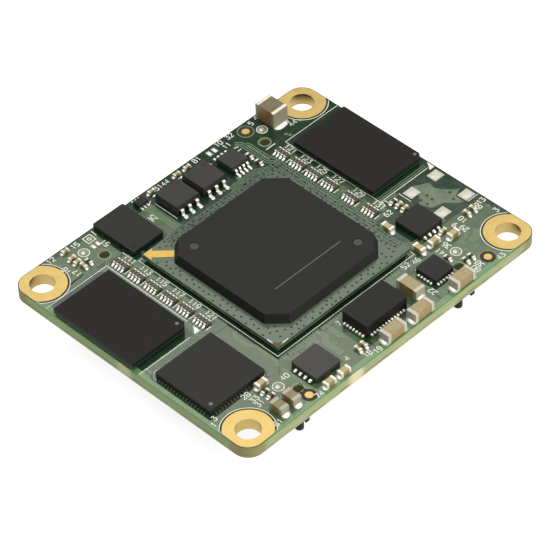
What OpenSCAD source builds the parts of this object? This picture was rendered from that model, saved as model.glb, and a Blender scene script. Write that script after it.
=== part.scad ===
// System on module: a processor, two memories, a network chip and their supplies on one small board.
// Three board-to-board connectors under the board carry it. Sizes are in millimetres.
// X runs along the long side and Y along the short side. z = 0 is the plane of the connectors' mating faces.

/* [Board] */
// Length of the board
board_l = 50.5; // [50.5:0.5:60]
// Width of the board
board_w = 40.5; // [40.5:0.5:50]
// Thickness of the laminate
board_t = 1.6; // [1:0.1:2.4]
// Radius of the board's corners
board_corner_r = 2.2; // [1:0.1:2.7]
// Distance of the mounting holes from the edges
hole_inset = 2.75; // [2.5:0.05:3.2]
// Clear diameter of a mounting hole
hole_d = 3.2; // [2.2:0.1:3.8]
// Wall of the plated barrel in a mounting hole
barrel_wall = 0.08; // [0.05:0.01:0.15]
// Diameter of the gold land round a mounting hole
land_d = 6.15; // [5:0.05:6.4]
// Gap between a land and the board's edge
land_edge_gap = 0.12; // [0.05:0.01:0.3]
// Thickness of bare plated copper on the board's faces
plating_t = 0.05; // [0.03:0.01:0.1]
// Diameter of a camera mark
mark_d = 1.05; // [0.8:0.05:1.4]
// Diameter of a test point
test_point_d = 1.3; // [0.8:0.05:1.5]

/* [Processor] */
// Side of the processor's laminate
processor_w = 23; // [21:0.5:24]
// Thickness of the processor's laminate
processor_substrate_t = 0.56; // [0.4:0.02:0.8]
// Balls along each side of the grid
processor_ball_count = 22; // [18:1:22]
// Pitch of the balls
processor_ball_pitch = 1; // [0.8:0.05:1]
// Largest diameter of a ball
processor_ball_d = 0.6; // [0.45:0.05:0.7]
// Height of a soldered ball
processor_ball_h = 0.5; // [0.3:0.05:0.6]
// Side of the moulded cap at its foot
cap_w = 19.7; // [17:0.1:20.5]
// Height of the moulded cap
cap_h = 1.17; // [0.8:0.01:1.5]
// How far the cap's sides lean in
cap_draft = 0.42; // [0.2:0.02:0.8]
// Corner chamfer of the cap at its foot
cap_corner = 2.25; // [1:0.05:4]
// Radius that rounds the ends of the cap's corner chamfers
cap_round = 0.35; // [0.2:0.05:2]
// Diameter of the ejector marks in the cap
ejector_d = 1.4; // [0.8:0.1:2]
// Distance of the ejector marks from the cap's middle
ejector_offset = 7; // [5:0.1:7.4]
// Width of the gold mould gate
gate_w = 1.15; // [0.6:0.05:2]

/* [Memory] */
// Width of a memory package
memory_w = 9.1; // [8:0.1:9.4]
// Length of a memory package
memory_l = 13.6; // [12.8:0.1:14]
// Thickness of a memory's laminate
memory_substrate_t = 0.24; // [0.15:0.01:0.4]
// Height of a memory's moulding
memory_mould_h = 0.56; // [0.4:0.02:0.9]
// Height of a memory's soldered balls
memory_ball_h = 0.3; // [0.2:0.02:0.4]
// Diameter of a memory's balls
memory_ball_d = 0.42; // [0.3:0.02:0.5]
// Pitch of a memory's balls
memory_ball_pitch = 0.8; // [0.65:0.05:0.8]
// Cut across a memory's pin one corner
memory_corner = 0.6; // [0.3:0.05:1]
// Gap from the left resistor column to the left memory
left_memory_gap = 1.75; // [1:0.05:2]
// Gap from the right resistor column to the right memory
right_memory_gap = 1.35; // [1:0.05:2]
// Middle of the left memory along Y
left_memory_y = 5.75; // [5:0.05:6.2]
// Middle of the right memory along Y
right_memory_y = 5.45; // [5:0.05:6.2]

/* [Leadless chips] */
// Radius of a leadless package's corners
mould_corner = 0.2; // [0.1:0.02:0.4]
// Height of the terminals under a leadless package
terminal_h = 0.16; // [0.08:0.02:0.25]
// How far a terminal and its solder reach past the package
terminal_toe = 0.24; // [0.1:0.02:0.3]
// Side of the network chip
network_w = 9.1; // [8:0.1:9.3]
// Height of the network chip's moulding
network_h = 0.7; // [0.5:0.05:1]
// Length of the power module
power_l = 7.1; // [6:0.1:7.4]
// Width of the power module
power_w = 4.1; // [3.5:0.1:4.2]
// Height of the power module's moulding
power_h = 1.7; // [1:0.05:2]
// Side of a regulator
regulator_w = 4.15; // [3:0.05:4.3]
// Height of a regulator's moulding
regulator_h = 0.75; // [0.5:0.05:1]
// Side of the clock chip
clock_w = 3.3; // [3:0.05:3.35]
// Height of the clock chip's moulding
clock_h = 0.75; // [0.5:0.05:1]
// Width of the flash chip
flash_w = 5.1; // [4:0.1:5.4]
// Length of the flash chip
flash_l = 7.3; // [6:0.1:7.4]
// Height of the flash chip's moulding
flash_h = 0.64; // [0.5:0.02:0.9]

/* [Leaded chips] */
// Side of an identity chip's moulding
identity_w = 4; // [3.6:0.05:4.1]
// Height of an identity chip's top
identity_h = 1.45; // [1.2:0.05:1.8]
// Distance between the two identity chips
identity_pitch = 4.64; // [4.5:0.02:5]
// Side of the supervisor chip's moulding
supervisor_w = 3; // [2.6:0.05:3.2]
// Height of the supervisor chip's top
supervisor_h = 1.05; // [0.9:0.05:1.3]
// Length of the logic gate's moulding
logic_l = 1.6; // [1.4:0.05:1.8]
// Width of the logic gate's moulding
logic_w = 1.2; // [1:0.05:1.4]
// Height of the logic gate's top
logic_h = 0.62; // [0.5:0.02:0.9]
// Gap under a leaded moulding
standoff = 0.12; // [0.05:0.01:0.2]

/* [Chip resistors and capacitors] */
// Length of a resistor array
array_l = 2.05; // [1.8:0.05:2.3]
// Width of a resistor array
array_w = 1; // [0.8:0.05:1.2]
// Height of a resistor array
array_h = 0.45; // [0.3:0.05:0.6]
// Pitch of a resistor array's elements
array_pitch = 0.52; // [0.4:0.01:0.55]
// Gap from the processor to a resistor column
array_gap = 1.8; // [1.2:0.05:2]
// Thickness of the metal on chip ends
end_t = 0.04; // [0.02:0.01:0.06]
// Length, width and height of the tall bulk capacitor
bulk_size = [3.25, 2.5, 2.5];
// Length, width and height of a supply capacitor
supply_size = [3.2, 1.6, 1.45];
// Length, width and height of a filter capacitor
filter_size = [2, 1.3, 1.25];
// Length, width and height of a coupling capacitor
coupling_size = [1.6, 0.85, 0.8];
// Length, width and height of a small chip capacitor
small_size = [1, 0.5, 0.5];
// Length, width and height of a small chip resistor
resistor_size = [1, 0.5, 0.35];

/* [Connectors] */
// Height of a connector from the board to its mating face
connector_h = 5.2; // [4:0.1:6]
// Width of a connector's housing
connector_w = 3.9; // [3.6:0.1:4.4]
// Height of a connector's low side
connector_low_h = 2.2; // [1.6:0.1:2.6]
// Pitch of the contacts
contact_pitch = 0.5; // [0.4:0.05:0.5]
// Width of a contact
contact_w = 0.2; // [0.12:0.02:0.24]
// Thickness of the contact strip
contact_t = 0.15; // [0.1:0.01:0.2]
// Contacts in a row of a long connector
long_contacts = 50; // [40:1:50]
// Contacts in a row of the short connector
short_contacts = 30; // [20:1:30]
// Length of the solid block at each end of a housing
connector_end = 3.2; // [2.9:0.1:3.6]
// Distance of the long connectors from the board's middle line
long_connector_y = 16.45; // [16:0.05:17]
// Distance of the short connector from the board's middle line
short_connector_x = 20.2; // [19.5:0.05:21]
// Diameter of a locating peg
peg_d = 1.15; // [0.8:0.05:1.3]
// Clearance round a locating peg
peg_clear = 0.08; // [0.04:0.01:0.15]
// How far the pegs and guide posts lie off the connector's middle line
peg_offset = 0.75; // [0.5:0.05:1]
// Diameter of a guide post
post_d = 1.1; // [0.8:0.05:1.3]

/* [Hidden] */
$fn = 32;
board_bottom = connector_h;
board_top = connector_h + board_t;
hole_x = board_l / 2 - hole_inset;
hole_y = board_w / 2 - hole_inset;
hole_spots = [[-hole_x, -hole_y], [hole_x, -hole_y], [-hole_x, hole_y], [hole_x, hole_y]];
barrel_d = hole_d + 2 * barrel_wall;
land_edge = hole_x - land_d / 2;

ball_neck = 0.7;
processor_half = processor_w / 2;
processor_top = processor_ball_h + processor_substrate_t;
cap_scale = (cap_w - 2 * cap_draft) / cap_w;
ejector_depth = 0.06;
gate_start = (cap_w - cap_corner) / sqrt(2) + 0.02;
gate_end = processor_half * sqrt(2);
gate_margin = 0.12;
gate_foot = 1.7;
ball_one_mark = 0.9;

array_x = processor_half + array_gap + array_w / 2;
array_terminal = [0.3, 0.16];
array_top_y = 12.8;
left_array_step = 2.8;
left_array_ys = [for (i = [0:5]) array_top_y - i * left_array_step];
right_array_ys = [12.45, 9.7, 6.95, 4.2, 0.65, -2.7];
array_spots = concat([for (y = left_array_ys) [-array_x, y]], [for (y = right_array_ys) [array_x, y]]);

left_memory_x = -(array_x + array_w / 2 + left_memory_gap + memory_w / 2);
right_memory_x = array_x + array_w / 2 + right_memory_gap + memory_w / 2;
memory_columns = [-4, -3, -2, 2, 3, 4];
memory_rows = 16;
memory_top = memory_ball_h + memory_substrate_t;
dimple_d = 0.44;
dimple_depth = 0.05;
dimple_inset = [0.62, 1];
chip_dimple_inset = 0.7;

pad_share = 0.55;
network_gap = [3.45, 2.7];
network_x = -(processor_half + network_gap[0] + network_w / 2);
network_y = left_memory_y - memory_l / 2 - network_gap[1] - network_w / 2;
network_pitch = 0.5;
network_count = 16;
network_terminal = [0.25, 0.7];

power_gap = 1.8;
power_x = 1.05;
power_y = -(processor_half + power_gap + power_w / 2);
power_pitch = 0.5;
power_counts = [12, 7];
power_terminal = [0.26, 0.6];

regulator_pitch = 0.8;
regulator_count = 4;
regulator_terminal = [0.4, 0.8];
left_regulator_x = -9.9;
left_regulator_y = -(processor_half + 2.6 + regulator_w / 2);
right_regulator_x = processor_half + 2.4 + regulator_w / 2;
right_regulator_y = -8.7;

clock_pitch = 0.5;
clock_counts = [6, 5];
clock_terminal = [0.26, 0.5];
clock_x = 11.17;
clock_y = -(processor_half + 2.6 + clock_w / 2);

flash_edge_gap = 0.2;
flash_x = -9.2;
flash_y = board_w / 2 - flash_edge_gap - flash_l / 2;
flash_pitch = 1.27;
flash_count = 4;
flash_terminal = [0.45, 0.7];

mould_draft = 0.12;
lead_t = 0.15;
lead_shoulder = 0.08;
lead_bend_r = 0.1;
identity_x = 1.1;
identity_y = processor_half + 2.4 + identity_w / 2;
identity_xs = [identity_x - identity_pitch / 2, identity_x + identity_pitch / 2];
identity_lead_pitch = 1.27;
identity_lead_w = 0.42;
identity_foot = 0.45;
identity_mark = 0.3 * identity_w;
supervisor_x = 8.25;
supervisor_y = processor_half + 2.8 + supervisor_w / 2;
supervisor_lead_pitch = 0.65;
supervisor_lead_w = 0.3;
supervisor_foot = 0.4;
logic_x = -4.7;
logic_y = 18.9;
logic_lead_pitch = 0.5;
logic_lead_w = 0.22;
logic_foot = 0.42;

bulk_band = 0.3;
supply_band = 0.48;
filter_band = 0.48;
coupling_band = 0.35;
small_band = 0.25;
bulk_x = land_edge - 0.55 - bulk_size[1] / 2;
bulk_y = board_w / 2 - 0.5 - bulk_size[0] / 2;
supply_edge_gap = 0.15;
supply_y = -board_w / 2 + supply_edge_gap + supply_size[1] / 2;
supply_side_x = power_x + power_l / 2 + 1.45 + supply_size[1] / 2;
supply_side_y = power_y - 0.45;
supply_spots = [[0, supply_y, 0], [4.75, supply_y, 0], [12.1, supply_y, 0],
                [supply_side_x, supply_side_y, 90]];
filter_gap = 0.75;
filter_land_gap = 0.825;
filter_x = -(land_edge - filter_land_gap - 1.5 * filter_size[1] - filter_gap);
filter_y = -board_w / 2 + 1.2 + filter_size[0] / 2;
filter_spots = [[filter_x, filter_y, 90], [filter_x - filter_size[1] - filter_gap, filter_y, 90]];
coupling_y = -board_w / 2 + 0.4 + coupling_size[1] / 2;
coupling_pitch = 2.45;
filter_coupling_pitch = 4.9;
coupling_x = filter_x + filter_coupling_pitch;
coupling_spots = [[coupling_x, coupling_y, 0], [coupling_x + coupling_pitch, coupling_y, 0], [14.75, -12.3, 0], [17.35, -13.15, 0],
                  [12.65, -11.85, 90], [12.75, -6.55, 90], [-16.6, -13.75, 0]];
small_spots = [[-17.2, 17.95, 0], [-17.2, 17, 0], [-16.95, 19.45, 0], [-17.1, 15.95, 90],
               [-4.65, -18, 90], [-3.65, -18, 90], [17, -11.75, 0], [21.4, -11.75, 90], [22.5, -11.75, 90],
               [16.8, -4.65, 0], [16.8, -5.6, 0], [-2.4, 19.4, 0], [1.95, 19.35, 0], [3.75, 19.35, 0]];
resistor_spots = [[-17, -14.8, 0], [-17, -15.75, 0], [15.2, -17.2, 90], [16.15, -17.2, 90], [14, -15.3, 90],
                  [-16.1, 16.1, 90], [10.65, 15.2, 90], [10.65, 13.5, 90], [16.8, -3.7, 0]];
under_pitch = [3.2, 2.6];
under_spots = [for (i = [-2:2]) for (j = [-2:2]) if (i != 0 || j != 0)
               [i * under_pitch[0], j * under_pitch[1], 0]];

mark_bulk_gap = 2.725;
mark_land_gap = 1.875;
mark_filter_gap = 1.45;
mark_spots = [[bulk_x - bulk_size[1] / 2 - mark_bulk_gap, 18.85], [land_edge - mark_land_gap, -18.65],
              [filter_x + filter_size[1] / 2 + mark_filter_gap, -18.85]];
test_point_bulk_gap = 1.025;
test_point_spots = [[bulk_x - bulk_size[1] / 2 - test_point_bulk_gap, 17.6], [15.6, -15.2], [-15.3, -15.3], [-15.4, 17.75]];
oscillator_land = [1.7, 1.5];
oscillator_spots = [[19.6, -4.2], [23.95, -4.2], [19.6, -9.35], [23.95, -9.35]];

connector_base_h = 0.95;
tongue_t = 1.2;
tongue_face = 0.25;
wall_t = 0.75;
wall_face = -connector_w / 2 + wall_t;
contact_clear = 0.02;
contact_tip = 0.3;
contact_sink = 0.05;
tail_reach = 0.45;
peg_span_extra = 3.3;
peg_h = board_t * 0.9;
post_chamfer = 0.2;
lug = [0.6, 0.75];
lug_span_extra = 4.3;
connector_spots = [[0, -long_connector_y, 0, long_contacts], [0, long_connector_y, 0, long_contacts],
                   [-short_connector_x, 0, -90, short_contacts]];

// A block that stands on z = 0 with its middle over the origin.
module block(l, w, h) {
    translate([-l / 2, -w / 2, 0]) cube([l, w, h]);
}

// A flat outline with round corners.
module round_outline(l, w, r) {
    square([l - 2 * r, w], center = true);
    square([l, w - 2 * r], center = true);
    for (x = [-1, 1], y = [-1, 1]) translate([x * (l / 2 - r), y * (w / 2 - r)]) circle(r);
}

// Places its children on the board's top face, at x, y, turned by angle.
module on_top(x, y, angle = 0) {
    translate([x, y, board_top]) rotate([0, 0, angle]) children();
}

// Places its children under the board, with their own +Z pointing down.
module under(x, y, angle = 0) {
    translate([x, y, board_bottom]) mirror([0, 0, 1]) rotate([0, 0, angle]) children();
}

// A soldered ball: widest halfway up and narrower where it meets the board and the package.
module ball(d, h) {
    neck = d * ball_neck;
    cylinder(d1 = neck, d2 = d, h = h / 2);
    translate([0, 0, h / 2]) cylinder(d1 = d, d2 = neck, h = h / 2);
}

// A moulded package whose sides lean in above and below the parting line.
module moulded(l, w, h, draft) {
    lean = [(l - 2 * draft) / l, (w - 2 * draft) / w];
    translate([0, 0, h / 2]) for (up = [0, 1]) mirror([0, 0, up])
        linear_extrude(h / 2, scale = lean, slices = 1, segments = 4) square([l, w], center = true);
}

// A leadless package on its terminals, with a pin one dimple near its low corner.
module leadless(l, w, h) {
    difference() {
        translate([0, 0, terminal_h]) linear_extrude(h) round_outline(l, w, mould_corner);
        translate([chip_dimple_inset - l / 2, chip_dimple_inset - w / 2, terminal_h + h - dimple_depth])
            cylinder(d = dimple_d, h = h);
    }
}

// A row of terminals along the edge at -reach from the middle, along X. Each terminal is [width, length].
module terminal_row(count, pitch, reach, terminal) {
    for (i = [0:count - 1])
        translate([(i - (count - 1) / 2) * pitch, -reach - terminal_toe + terminal[1] / 2, 0])
            block(terminal[0], terminal[1], terminal_h);
}

// The heat pad under the middle of a leadless package.
module heat_pad(l, w) {
    block(l * pad_share, w * pad_share, terminal_h);
}

// Side view of a gull wing lead: a shoulder, two bends, a riser and a foot.
module lead_outline(rise, shoulder, foot, t, r) {
    riser_x = shoulder + r;
    foot_x = shoulder + 2 * r + t;
    translate([0, rise]) square([shoulder, t]);
    translate([shoulder, rise - r]) intersection() {
        difference() {
            circle(r + t);
            circle(r);
        }
        square(r + t);
    }
    translate([riser_x, t + r]) square([t, rise - t - 2 * r]);
    translate([foot_x, t + r]) intersection() {
        difference() {
            circle(r + t);
            circle(r);
        }
        translate([-r - t, -r - t]) square(r + t);
    }
    translate([foot_x, 0]) square([foot, t]);
}

// Rows of gull wing leads on the two sides of a package that face -Y and +Y.
module lead_rows(count, pitch, lead_w, body_w, rise, foot) {
    for (side = [0, 180], i = [0:count - 1])
        rotate([0, 0, side]) translate([(i - (count - 1) / 2) * pitch, -body_w / 2, 0])
            rotate([90, 0, -90]) linear_extrude(lead_w, center = true)
                lead_outline(rise, lead_shoulder, foot, lead_t, lead_bend_r);
}

// The ceramic of a chip part, between its metal ends.
module chip_core(size) {
    translate([0, 0, end_t]) block(size[0] - 2 * end_t, size[1] - 2 * end_t, size[2] - 2 * end_t);
}

// The two metal ends of a chip part, each a cup over the ceramic.
module chip_ends(size, band) {
    for (side = [-1, 1]) difference() {
        translate([side * (size[0] - band) / 2, 0, 0]) block(band, size[1], size[2]);
        chip_core(size);
    }
}

module circuit_board() {
    color("darkolivegreen") difference() {
        translate([0, 0, board_bottom]) linear_extrude(board_t)
            round_outline(board_l, board_w, board_corner_r);
        for (spot = hole_spots) translate([spot[0], spot[1], board_bottom - 1])
            cylinder(d = barrel_d, h = board_t + 2);
        for (c = connector_spots) under(c[0], c[1], c[2]) peg_places(c[3])
            translate([0, 0, -board_t - 1]) cylinder(d = peg_d + 2 * peg_clear, h = board_t + 2);
    }
}

// One plated hole: its land on both faces and the barrel between them.
module plated_hole(spot) {
    difference() {
        union() {
            for (z = [board_bottom - plating_t, board_top]) translate([0, 0, z]) linear_extrude(plating_t)
                intersection() {
                    translate(spot) circle(d = land_d, $fn = 64);
                    round_outline(board_l - 2 * land_edge_gap, board_w - 2 * land_edge_gap,
                                  board_corner_r - land_edge_gap);
                }
            translate([spot[0], spot[1], board_bottom]) cylinder(d = barrel_d, h = board_t);
        }
        translate([spot[0], spot[1], board_bottom - 1]) cylinder(d = hole_d, h = board_t + 2);
    }
}

module mounting_lands() {
    color("gold") for (spot = hole_spots) plated_hole(spot);
}

module camera_marks() {
    color("khaki") for (spot = mark_spots) on_top(spot[0], spot[1]) cylinder(d = mark_d, h = plating_t);
}

module test_points() {
    color("silver") for (spot = test_point_spots) on_top(spot[0], spot[1])
        cylinder(d = test_point_d, h = plating_t);
}

module oscillator_lands() {
    color("silver") for (spot = oscillator_spots) on_top(spot[0], spot[1])
        block(oscillator_land[0], oscillator_land[1], plating_t);
}

module processor_substrate() {
    color("seagreen") on_top(0, 0) translate([0, 0, processor_ball_h])
        block(processor_w, processor_w, processor_substrate_t);
}

// The cap's outline: a square with its four corners cut off and the cuts rounded.
module cap_outline() {
    a = cap_w / 2;
    b = cap_w / 2 - cap_corner;
    offset(r = cap_round) offset(delta = -cap_round)
        polygon([[-a, -b], [-b, -a], [b, -a], [a, -b], [a, b], [b, a], [-b, a], [-a, b]]);
}

module processor_cap() {
    color("dimgray") on_top(0, 0) translate([0, 0, processor_top]) difference() {
        linear_extrude(cap_h, scale = cap_scale) cap_outline();
        for (s = [-1, 1]) translate([-s * ejector_offset, s * ejector_offset, cap_h - ejector_depth])
            cylinder(d = ejector_d, h = 1);
    }
}

module processor_balls() {
    first = -(processor_ball_count - 1) / 2;
    color("lightgray") for (i = [0:processor_ball_count - 1], j = [0:processor_ball_count - 1])
        on_top((first + i) * processor_ball_pitch, (first + j) * processor_ball_pitch)
            ball(processor_ball_d, processor_ball_h);
}

// The mould gate runs from the laminate's corner to the cap, and a small gold corner marks ball one.
module processor_gold() {
    edge = processor_half - gate_margin;
    color("gold") on_top(0, 0) translate([0, 0, processor_top]) {
        linear_extrude(plating_t) intersection() {
            square(2 * edge, center = true);
            rotate(135) union() {
                translate([gate_start, -gate_w / 2]) square([gate_end - gate_start, gate_w]);
                translate([gate_end - gate_foot / sqrt(2), -gate_foot]) square([gate_foot, 2 * gate_foot]);
            }
        }
        linear_extrude(plating_t)
            polygon([[-edge, -edge], [ball_one_mark - edge, -edge], [-edge, ball_one_mark - edge]]);
    }
}

// A memory's outline: a rectangle with its pin one corner cut off.
module memory_outline() {
    a = memory_w / 2;
    b = memory_l / 2;
    polygon([[-a, -b], [a - memory_corner, -b], [a, -b + memory_corner], [a, b], [-a, b]]);
}

module memory_mould(x, y) {
    color("#2b2929") on_top(x, y) translate([0, 0, memory_top]) difference() {
        linear_extrude(memory_mould_h) memory_outline();
        translate([memory_w / 2 - dimple_inset[0], dimple_inset[1] - memory_l / 2, 0])
            translate([0, 0, memory_mould_h - dimple_depth])
                cylinder(d = dimple_d, h = memory_mould_h);
    }
}

module memory_substrate(x, y) {
    color("darkslategray") on_top(x, y) translate([0, 0, memory_ball_h])
        linear_extrude(memory_substrate_t) memory_outline();
}

module memory_balls(x, y) {
    color("lightgray") on_top(x, y) for (c = memory_columns, j = [0:memory_rows - 1])
        translate([c * memory_ball_pitch, (j - (memory_rows - 1) / 2) * memory_ball_pitch, 0])
            ball(memory_ball_d, memory_ball_h);
}

module left_memory_mould() { memory_mould(left_memory_x, left_memory_y); }
module left_memory_substrate() { memory_substrate(left_memory_x, left_memory_y); }
module left_memory_balls() { memory_balls(left_memory_x, left_memory_y); }
module right_memory_mould() { memory_mould(right_memory_x, right_memory_y); }
module right_memory_substrate() { memory_substrate(right_memory_x, right_memory_y); }
module right_memory_balls() { memory_balls(right_memory_x, right_memory_y); }

module network_chip() {
    color("#333130") on_top(network_x, network_y) leadless(network_w, network_w, network_h);
}

module network_terminals() {
    color("silver") on_top(network_x, network_y) {
        for (a = [0:90:270]) rotate([0, 0, a])
            terminal_row(network_count, network_pitch, network_w / 2, network_terminal);
        heat_pad(network_w, network_w);
    }
}

module power_module() {
    color("#2a2929") on_top(power_x, power_y) leadless(power_l, power_w, power_h);
}

module power_terminals() {
    color("silver") on_top(power_x, power_y) {
        for (a = [0, 180]) rotate([0, 0, a])
            terminal_row(power_counts[0], power_pitch, power_w / 2, power_terminal);
        for (a = [90, 270]) rotate([0, 0, a])
            terminal_row(power_counts[1], power_pitch, power_l / 2, power_terminal);
        heat_pad(power_l, power_w);
    }
}

module regulator_terminals() {
    for (a = [0, 180]) rotate([0, 0, a])
        terminal_row(regulator_count, regulator_pitch, regulator_w / 2, regulator_terminal);
    heat_pad(regulator_w, regulator_w);
}

module left_regulator() {
    color("#4c4a49") on_top(left_regulator_x, left_regulator_y, 90)
        leadless(regulator_w, regulator_w, regulator_h);
}

module left_regulator_terminals() {
    color("silver") on_top(left_regulator_x, left_regulator_y, 90) regulator_terminals();
}

module right_regulator() {
    color("#4c4a49") on_top(right_regulator_x, right_regulator_y)
        leadless(regulator_w, regulator_w, regulator_h);
}

module right_regulator_terminals() {
    color("silver") on_top(right_regulator_x, right_regulator_y) regulator_terminals();
}

module clock_chip() {
    color("#2f2d2d") on_top(clock_x, clock_y) leadless(clock_w, clock_w, clock_h);
}

module clock_terminals() {
    color("silver") on_top(clock_x, clock_y) {
        for (a = [0, 180]) rotate([0, 0, a])
            terminal_row(clock_counts[0], clock_pitch, clock_w / 2, clock_terminal);
        for (a = [90, 270]) rotate([0, 0, a])
            terminal_row(clock_counts[1], clock_pitch, clock_w / 2, clock_terminal);
        heat_pad(clock_w, clock_w);
    }
}

module flash_chip() {
    color("#3b3a39") on_top(flash_x, flash_y) leadless(flash_w, flash_l, flash_h);
}

module flash_terminals() {
    color("silver") on_top(flash_x, flash_y) {
        for (a = [90, 270]) rotate([0, 0, a])
            terminal_row(flash_count, flash_pitch, flash_w / 2 - terminal_toe, flash_terminal);
        heat_pad(flash_w, flash_l);
    }
}

module identity_chips() {
    color("#504e4c") for (x = identity_xs) on_top(x, identity_y) difference() {
        translate([0, 0, standoff]) moulded(identity_w, identity_w, identity_h - standoff, mould_draft);
        translate([identity_mark, identity_mark, identity_h - dimple_depth])
            cylinder(d = dimple_d, h = identity_h);
    }
}

module identity_leads() {
    rise = (standoff + identity_h - lead_t) / 2;
    color("silver") for (x = identity_xs) on_top(x, identity_y)
        lead_rows(3, identity_lead_pitch, identity_lead_w, identity_w, rise, identity_foot);
}

module supervisor_chip() {
    color("#454342") on_top(supervisor_x, supervisor_y) translate([0, 0, standoff])
        moulded(supervisor_w, supervisor_w, supervisor_h - standoff, mould_draft);
}

module supervisor_leads() {
    rise = (standoff + supervisor_h - lead_t) / 2;
    color("silver") on_top(supervisor_x, supervisor_y)
        lead_rows(4, supervisor_lead_pitch, supervisor_lead_w, supervisor_w, rise, supervisor_foot);
}

module logic_gate() {
    color("#454342") on_top(logic_x, logic_y) translate([0, 0, terminal_h])
        moulded(logic_l, logic_w, logic_h - terminal_h, mould_draft / 2);
}

// The logic gate's leads are flat and leave the moulding at its foot.
module logic_leads() {
    length = logic_foot + logic_w / 3;
    color("silver") on_top(logic_x, logic_y) for (side = [0, 180], i = [-1:1]) rotate([0, 0, side])
        translate([i * logic_lead_pitch, -logic_w / 2 - logic_foot + length / 2, 0])
            block(logic_lead_w, length, terminal_h);
}

module resistor_arrays() {
    color("dimgray") for (spot = array_spots) on_top(spot[0], spot[1]) translate([0, 0, end_t])
        block(array_w - 2 * end_t, array_l, array_h - 2 * end_t);
}

// Each array terminal is a clip of metal round the ceramic's long edge.
module array_terminals() {
    l = array_terminal[1];
    w = array_terminal[0];
    color("silver") for (spot = array_spots, side = [-1, 1], i = [-1.5:1.5])
        on_top(spot[0] + side * (array_w - l) / 2, spot[1] + i * array_pitch) difference() {
            block(l, w, array_h);
            translate([-side * (l / 2 + end_t), 0, end_t]) block(2 * l, 2 * w, array_h - 2 * end_t);
        }
}

module bulk_capacitor() {
    color("rosybrown") on_top(bulk_x, bulk_y, 90) chip_core(bulk_size);
}

module bulk_capacitor_ends() {
    color("gainsboro") on_top(bulk_x, bulk_y, 90) chip_ends(bulk_size, bulk_band);
}

module supply_capacitors() {
    color("tan") for (s = supply_spots) on_top(s[0], s[1], s[2]) chip_core(supply_size);
}

module supply_capacitor_ends() {
    color("gainsboro") for (s = supply_spots) on_top(s[0], s[1], s[2]) chip_ends(supply_size, supply_band);
}

module filter_capacitors() {
    color("tan") for (s = filter_spots) on_top(s[0], s[1], s[2]) chip_core(filter_size);
}

module filter_capacitor_ends() {
    color("gainsboro") for (s = filter_spots) on_top(s[0], s[1], s[2]) chip_ends(filter_size, filter_band);
}

module coupling_capacitors() {
    color("tan") for (s = coupling_spots) on_top(s[0], s[1], s[2]) chip_core(coupling_size);
}

module coupling_capacitor_ends() {
    color("gainsboro") for (s = coupling_spots) on_top(s[0], s[1], s[2])
        chip_ends(coupling_size, coupling_band);
}

module small_capacitors() {
    color("tan") for (s = small_spots) on_top(s[0], s[1], s[2]) chip_core(small_size);
}

module small_capacitor_ends() {
    color("gainsboro") for (s = small_spots) on_top(s[0], s[1], s[2]) chip_ends(small_size, small_band);
}

module small_resistors() {
    color("#222222") for (s = resistor_spots) on_top(s[0], s[1], s[2]) chip_core(resistor_size);
}

module small_resistor_ends() {
    color("gainsboro") for (s = resistor_spots) on_top(s[0], s[1], s[2]) chip_ends(resistor_size, small_band);
}

module under_capacitors() {
    color("tan") for (s = under_spots) under(s[0], s[1], s[2]) chip_core(small_size);
}

module under_capacitor_ends() {
    color("gainsboro") for (s = under_spots) under(s[0], s[1], s[2]) chip_ends(small_size, small_band);
}

function row_l(contacts) = (contacts - 1) * contact_pitch;

// Places its children at a connector's two locating pegs.
module peg_places(contacts) {
    for (side = [-1, 1])
        translate([side * (row_l(contacts) + peg_span_extra) / 2, -peg_offset, 0]) children();
}

// Side view of a contact: a tail on the board, then a blade up a face of the housing.
// With a clearance it is the channel that the housing leaves for the contact.
module contact_outline(tail_end, face, side, tip, clear) {
    translate([min(tail_end, face) - clear, -clear])
        square([abs(face - tail_end) + 2 * clear, contact_t + 2 * clear]);
    translate([face - (side > 0 ? contact_t : 0) - clear, -clear])
        square([contact_t + 2 * clear, tip + 2 * clear]);
}

// Both rows of contacts, or with a clearance and a longer tail, their channels.
module contact_rows(contacts, clear, extra) {
    tail = connector_w / 2 + tail_reach + extra;
    for (i = [0:contacts - 1]) translate([(i - (contacts - 1) / 2) * contact_pitch, 0, 0])
        rotate([90, 0, 90]) linear_extrude(contact_w + 2 * clear, center = true) {
            contact_outline(tail, tongue_face + contact_sink, 1, connector_h - contact_tip, clear);
            contact_outline(-tail, wall_face - contact_sink, -1, connector_low_h - contact_tip, clear);
        }
}

// A connector that mates with its own kind: a high tongue beside a low wall on one base,
// with a block, a guide post, two lugs and a locating peg at each end.
module connector_housing(contacts) {
    l = row_l(contacts) + 2 * connector_end;
    tongue_l = row_l(contacts) + 2 * contact_pitch;
    end_l = (l - tongue_l) / 2;
    difference() {
        union() {
            block(l, connector_w, connector_base_h);
            translate([0, tongue_face + tongue_t / 2, 0]) block(tongue_l, tongue_t, connector_h);
            translate([0, wall_face - wall_t / 2, 0]) block(tongue_l, wall_t, connector_low_h);
            for (side = [-1, 1]) {
                translate([side * (l - end_l) / 2, 0, 0]) block(end_l, connector_w, connector_low_h);
                translate([side * (row_l(contacts) + lug_span_extra) / 2, 0, 0])
                    block(lug[0], connector_w + 2 * lug[1], connector_low_h);
            }
        }
        contact_rows(contacts, contact_clear, 1);
    }
    peg_places(contacts) {
        translate([0, 0, -peg_h]) cylinder(d = peg_d, h = peg_h + 0.1);
        cylinder(d = post_d, h = connector_h - post_chamfer);
        translate([0, 0, connector_h - post_chamfer])
            cylinder(d1 = post_d, d2 = post_d - 2 * post_chamfer, h = post_chamfer);
    }
}

// A connector's housing or its contacts, in their place under the board.
module housing_at(c) {
    color("#1d1d1f") under(c[0], c[1], c[2]) connector_housing(c[3]);
}

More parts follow.
